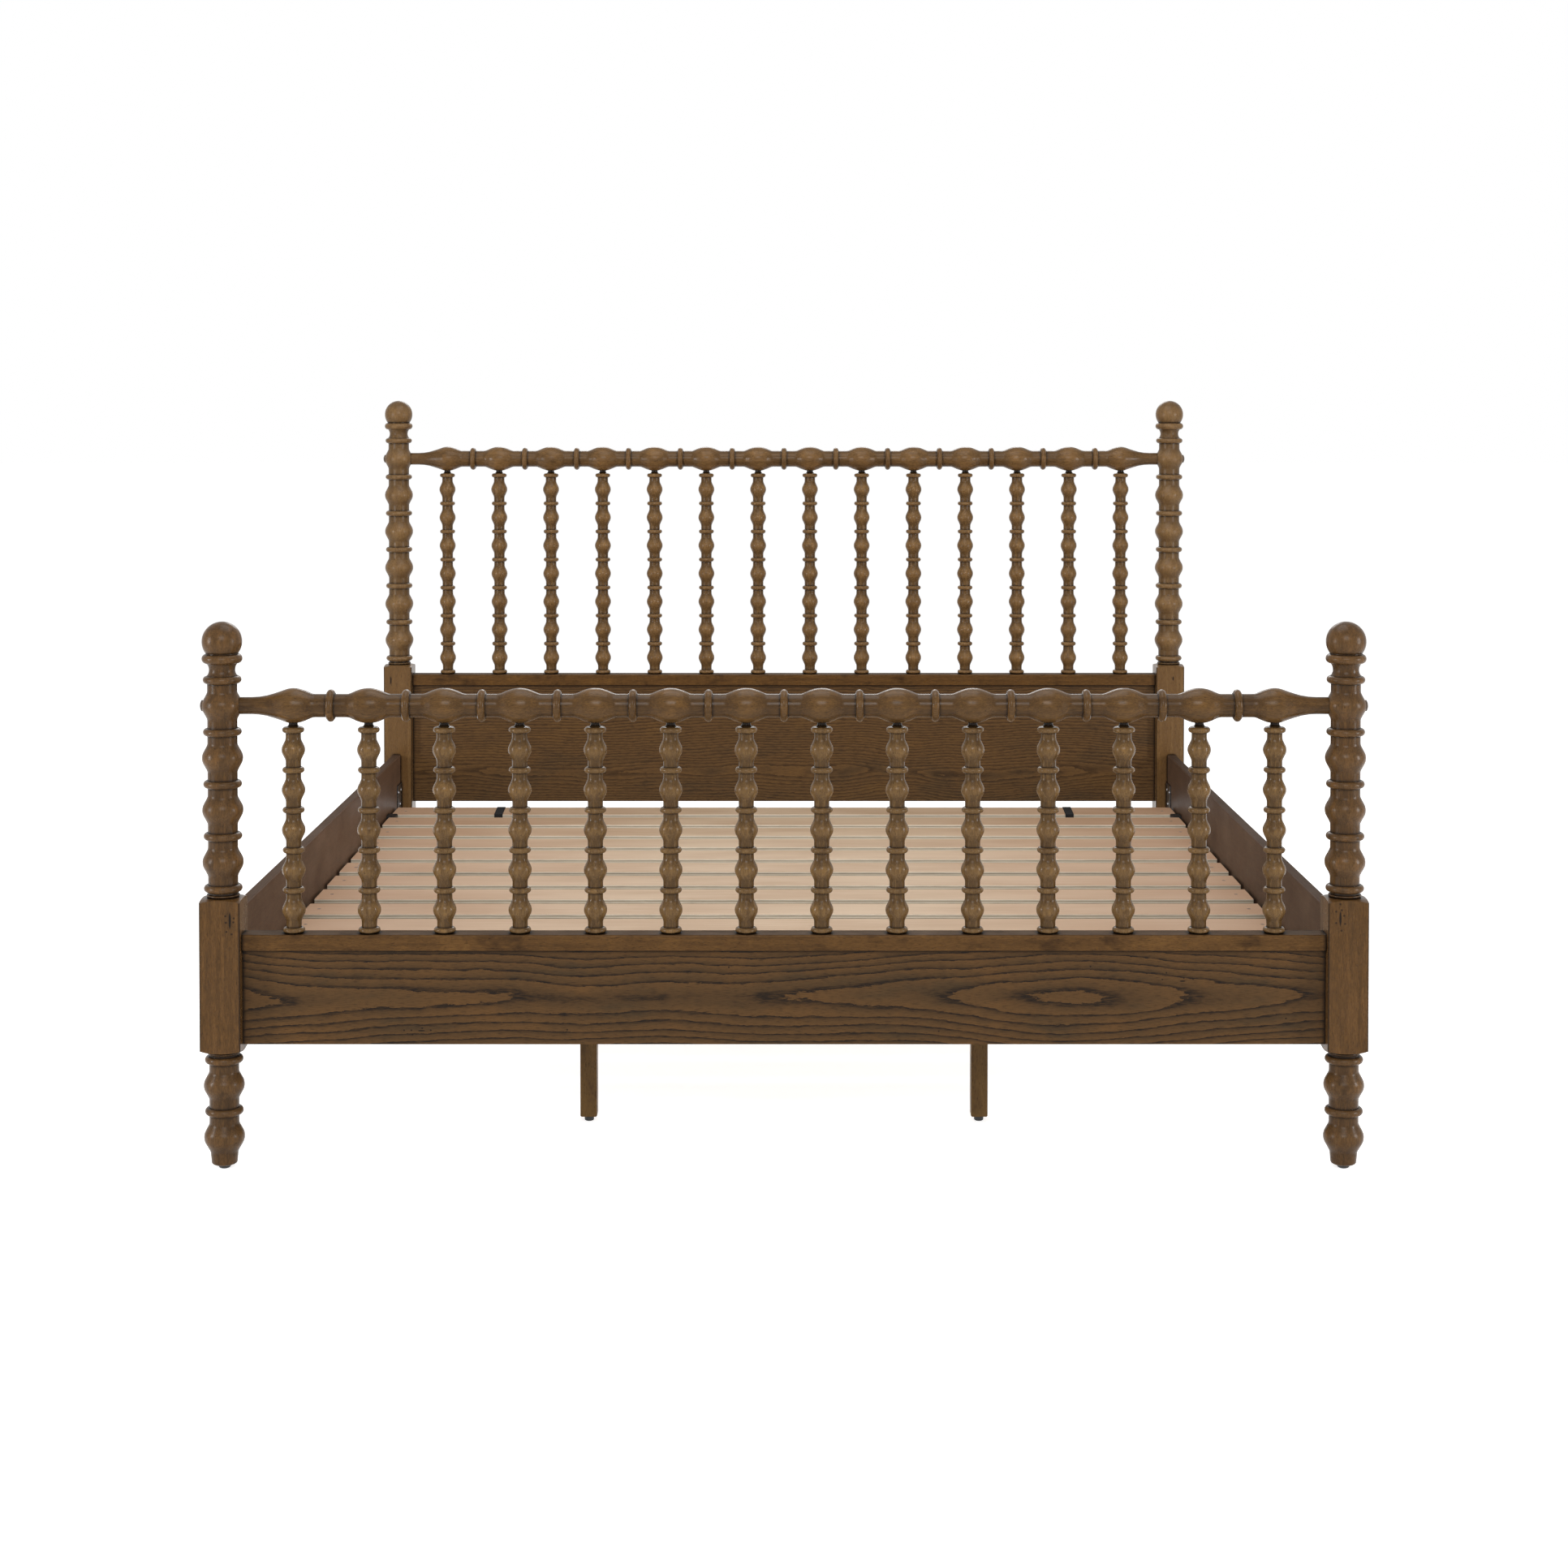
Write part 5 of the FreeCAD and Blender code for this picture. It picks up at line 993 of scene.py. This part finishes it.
@dataclass
class Studio:
    """White floor and surround, soft lights and the camera."""

    horizon_px: float = 559.3  # the principal point's height in the photograph's frame
    focal_px: float = 3234.6
    sensor_mm: float = 36.0
    pitch_deg: float = 1.5  # how far the camera looks down
    height: float = 1.3702
    distance: float = 4.5664  # camera to the plane of the foot posts' axes
    view_reach: float = 200.0  # how far the camera sees
    sky: float = 0.30  # strength of the even light from all round
    floor_reach: float = 40.0  # half the side of the floor
    floor_drop: float = 0.0006  # keeps the floor clear of the glides
    floor_lift: float = 0.75  # what the floor adds to its lit colour, so that it shows white
    lights: tuple = (
        SoftBox("left_softbox", (-3.9, -2.3, 1.15), (0, 0.1, 0.75), (0.4, 1.3), 62.0),
        SoftBox("right_softbox", (3.9, -2.3, 1.15), (0, 0.1, 0.75), (0.4, 1.3), 62.0),
        SoftBox("front_softbox", (0.0, -6.5, 3.5), (0, 0, 0.5), (3.0, 2.0), 150.0),
        SoftBox("top_softbox", (0.0, -0.6, 3.8), (0, 0.2, 0.4), (2.5, 2.5), 55.0),
        SoftBox("back_softbox", (0.0, 6.5, 4.2), (0, 0, 0.5), (3.0, 2.0), 70.0),
    )

    def build_camera(self) -> None:
        """Make the camera from the photograph's perspective."""
        data = bpy.data.cameras.new("photo_view")
        data.sensor_width = self.sensor_mm
        data.lens = self.focal_px / FRAME_PX * self.sensor_mm
        data.shift_y = -(FRAME_PX / 2 - self.horizon_px) / FRAME_PX
        data.clip_end = self.view_reach
        camera = bpy.data.objects.new("photo_view", data)
        camera.location = (0.0, -POST_Y - self.distance, self.height)
        camera.rotation_euler = (math.radians(90 - self.pitch_deg), 0.0, 0.0)
        bpy.context.scene.collection.objects.link(camera)
        bpy.context.scene.camera = camera

    def build_world(self) -> None:
        """Light evenly from all round; show white to the camera, to gloss and through glass."""
        world = bpy.data.worlds.new("studio")
        bpy.context.scene.world = world
        sky = Nodes(world)
        lit = sky.add("Background", ("#ffffff", self.sky))
        white = sky.add("Background", ("#ffffff", 1.0))
        sky.add("OutputWorld", (sky.add("MixShader", (sky.shown(), lit, white)),))

    def build_floor(self) -> None:
        """Lay the white floor, which keeps a soft shadow of the bed."""
        data = bpy.data.meshes.new("floor")
        reach = self.floor_reach
        data.from_pydata([(-reach, -reach, 0), (reach, -reach, 0), (reach, reach, 0),
                          (-reach, reach, 0)], [], [(0, 1, 2, 3)])
        floor = bpy.data.objects.new("floor", data)
        floor.location = (0.0, 0.0, -self.floor_drop)
        bpy.context.scene.collection.objects.link(floor)
        material = bpy.data.materials.new("white_floor")
        paper = Nodes(material)
        lift = paper.add("Math", (paper.shown(), self.floor_lift), operation="MULTIPLY")
        glow = paper.add("Emission", ("#ffffff", lift))
        matt = paper.add("BsdfDiffuse", ("#f4f4f4",))
        paper.add("OutputMaterial", (paper.add("AddShader", (matt, glow)),))
        data.materials.append(material)

    def build(self) -> None:
        """Build the whole studio."""
        bpy.context.scene.view_settings.view_transform = "Standard"
        self.build_camera()
        self.build_world()
        self.build_floor()
        for light in self.lights:
            light.build()
        log.info("studio built with %d lights", len(self.lights))


def main() -> None:
    """Build the looks in order and report each piece."""
    logging.basicConfig(level=logging.INFO, format="%(name)s: %(message)s")
    Studio().build()
    TurnedFrame().dress()
    Panels().dress()
    deck = SlatDeck()
    deck.dress()
    deck.build_loops()
    Fittings().dress()


if __name__ == "__main__":
    main()
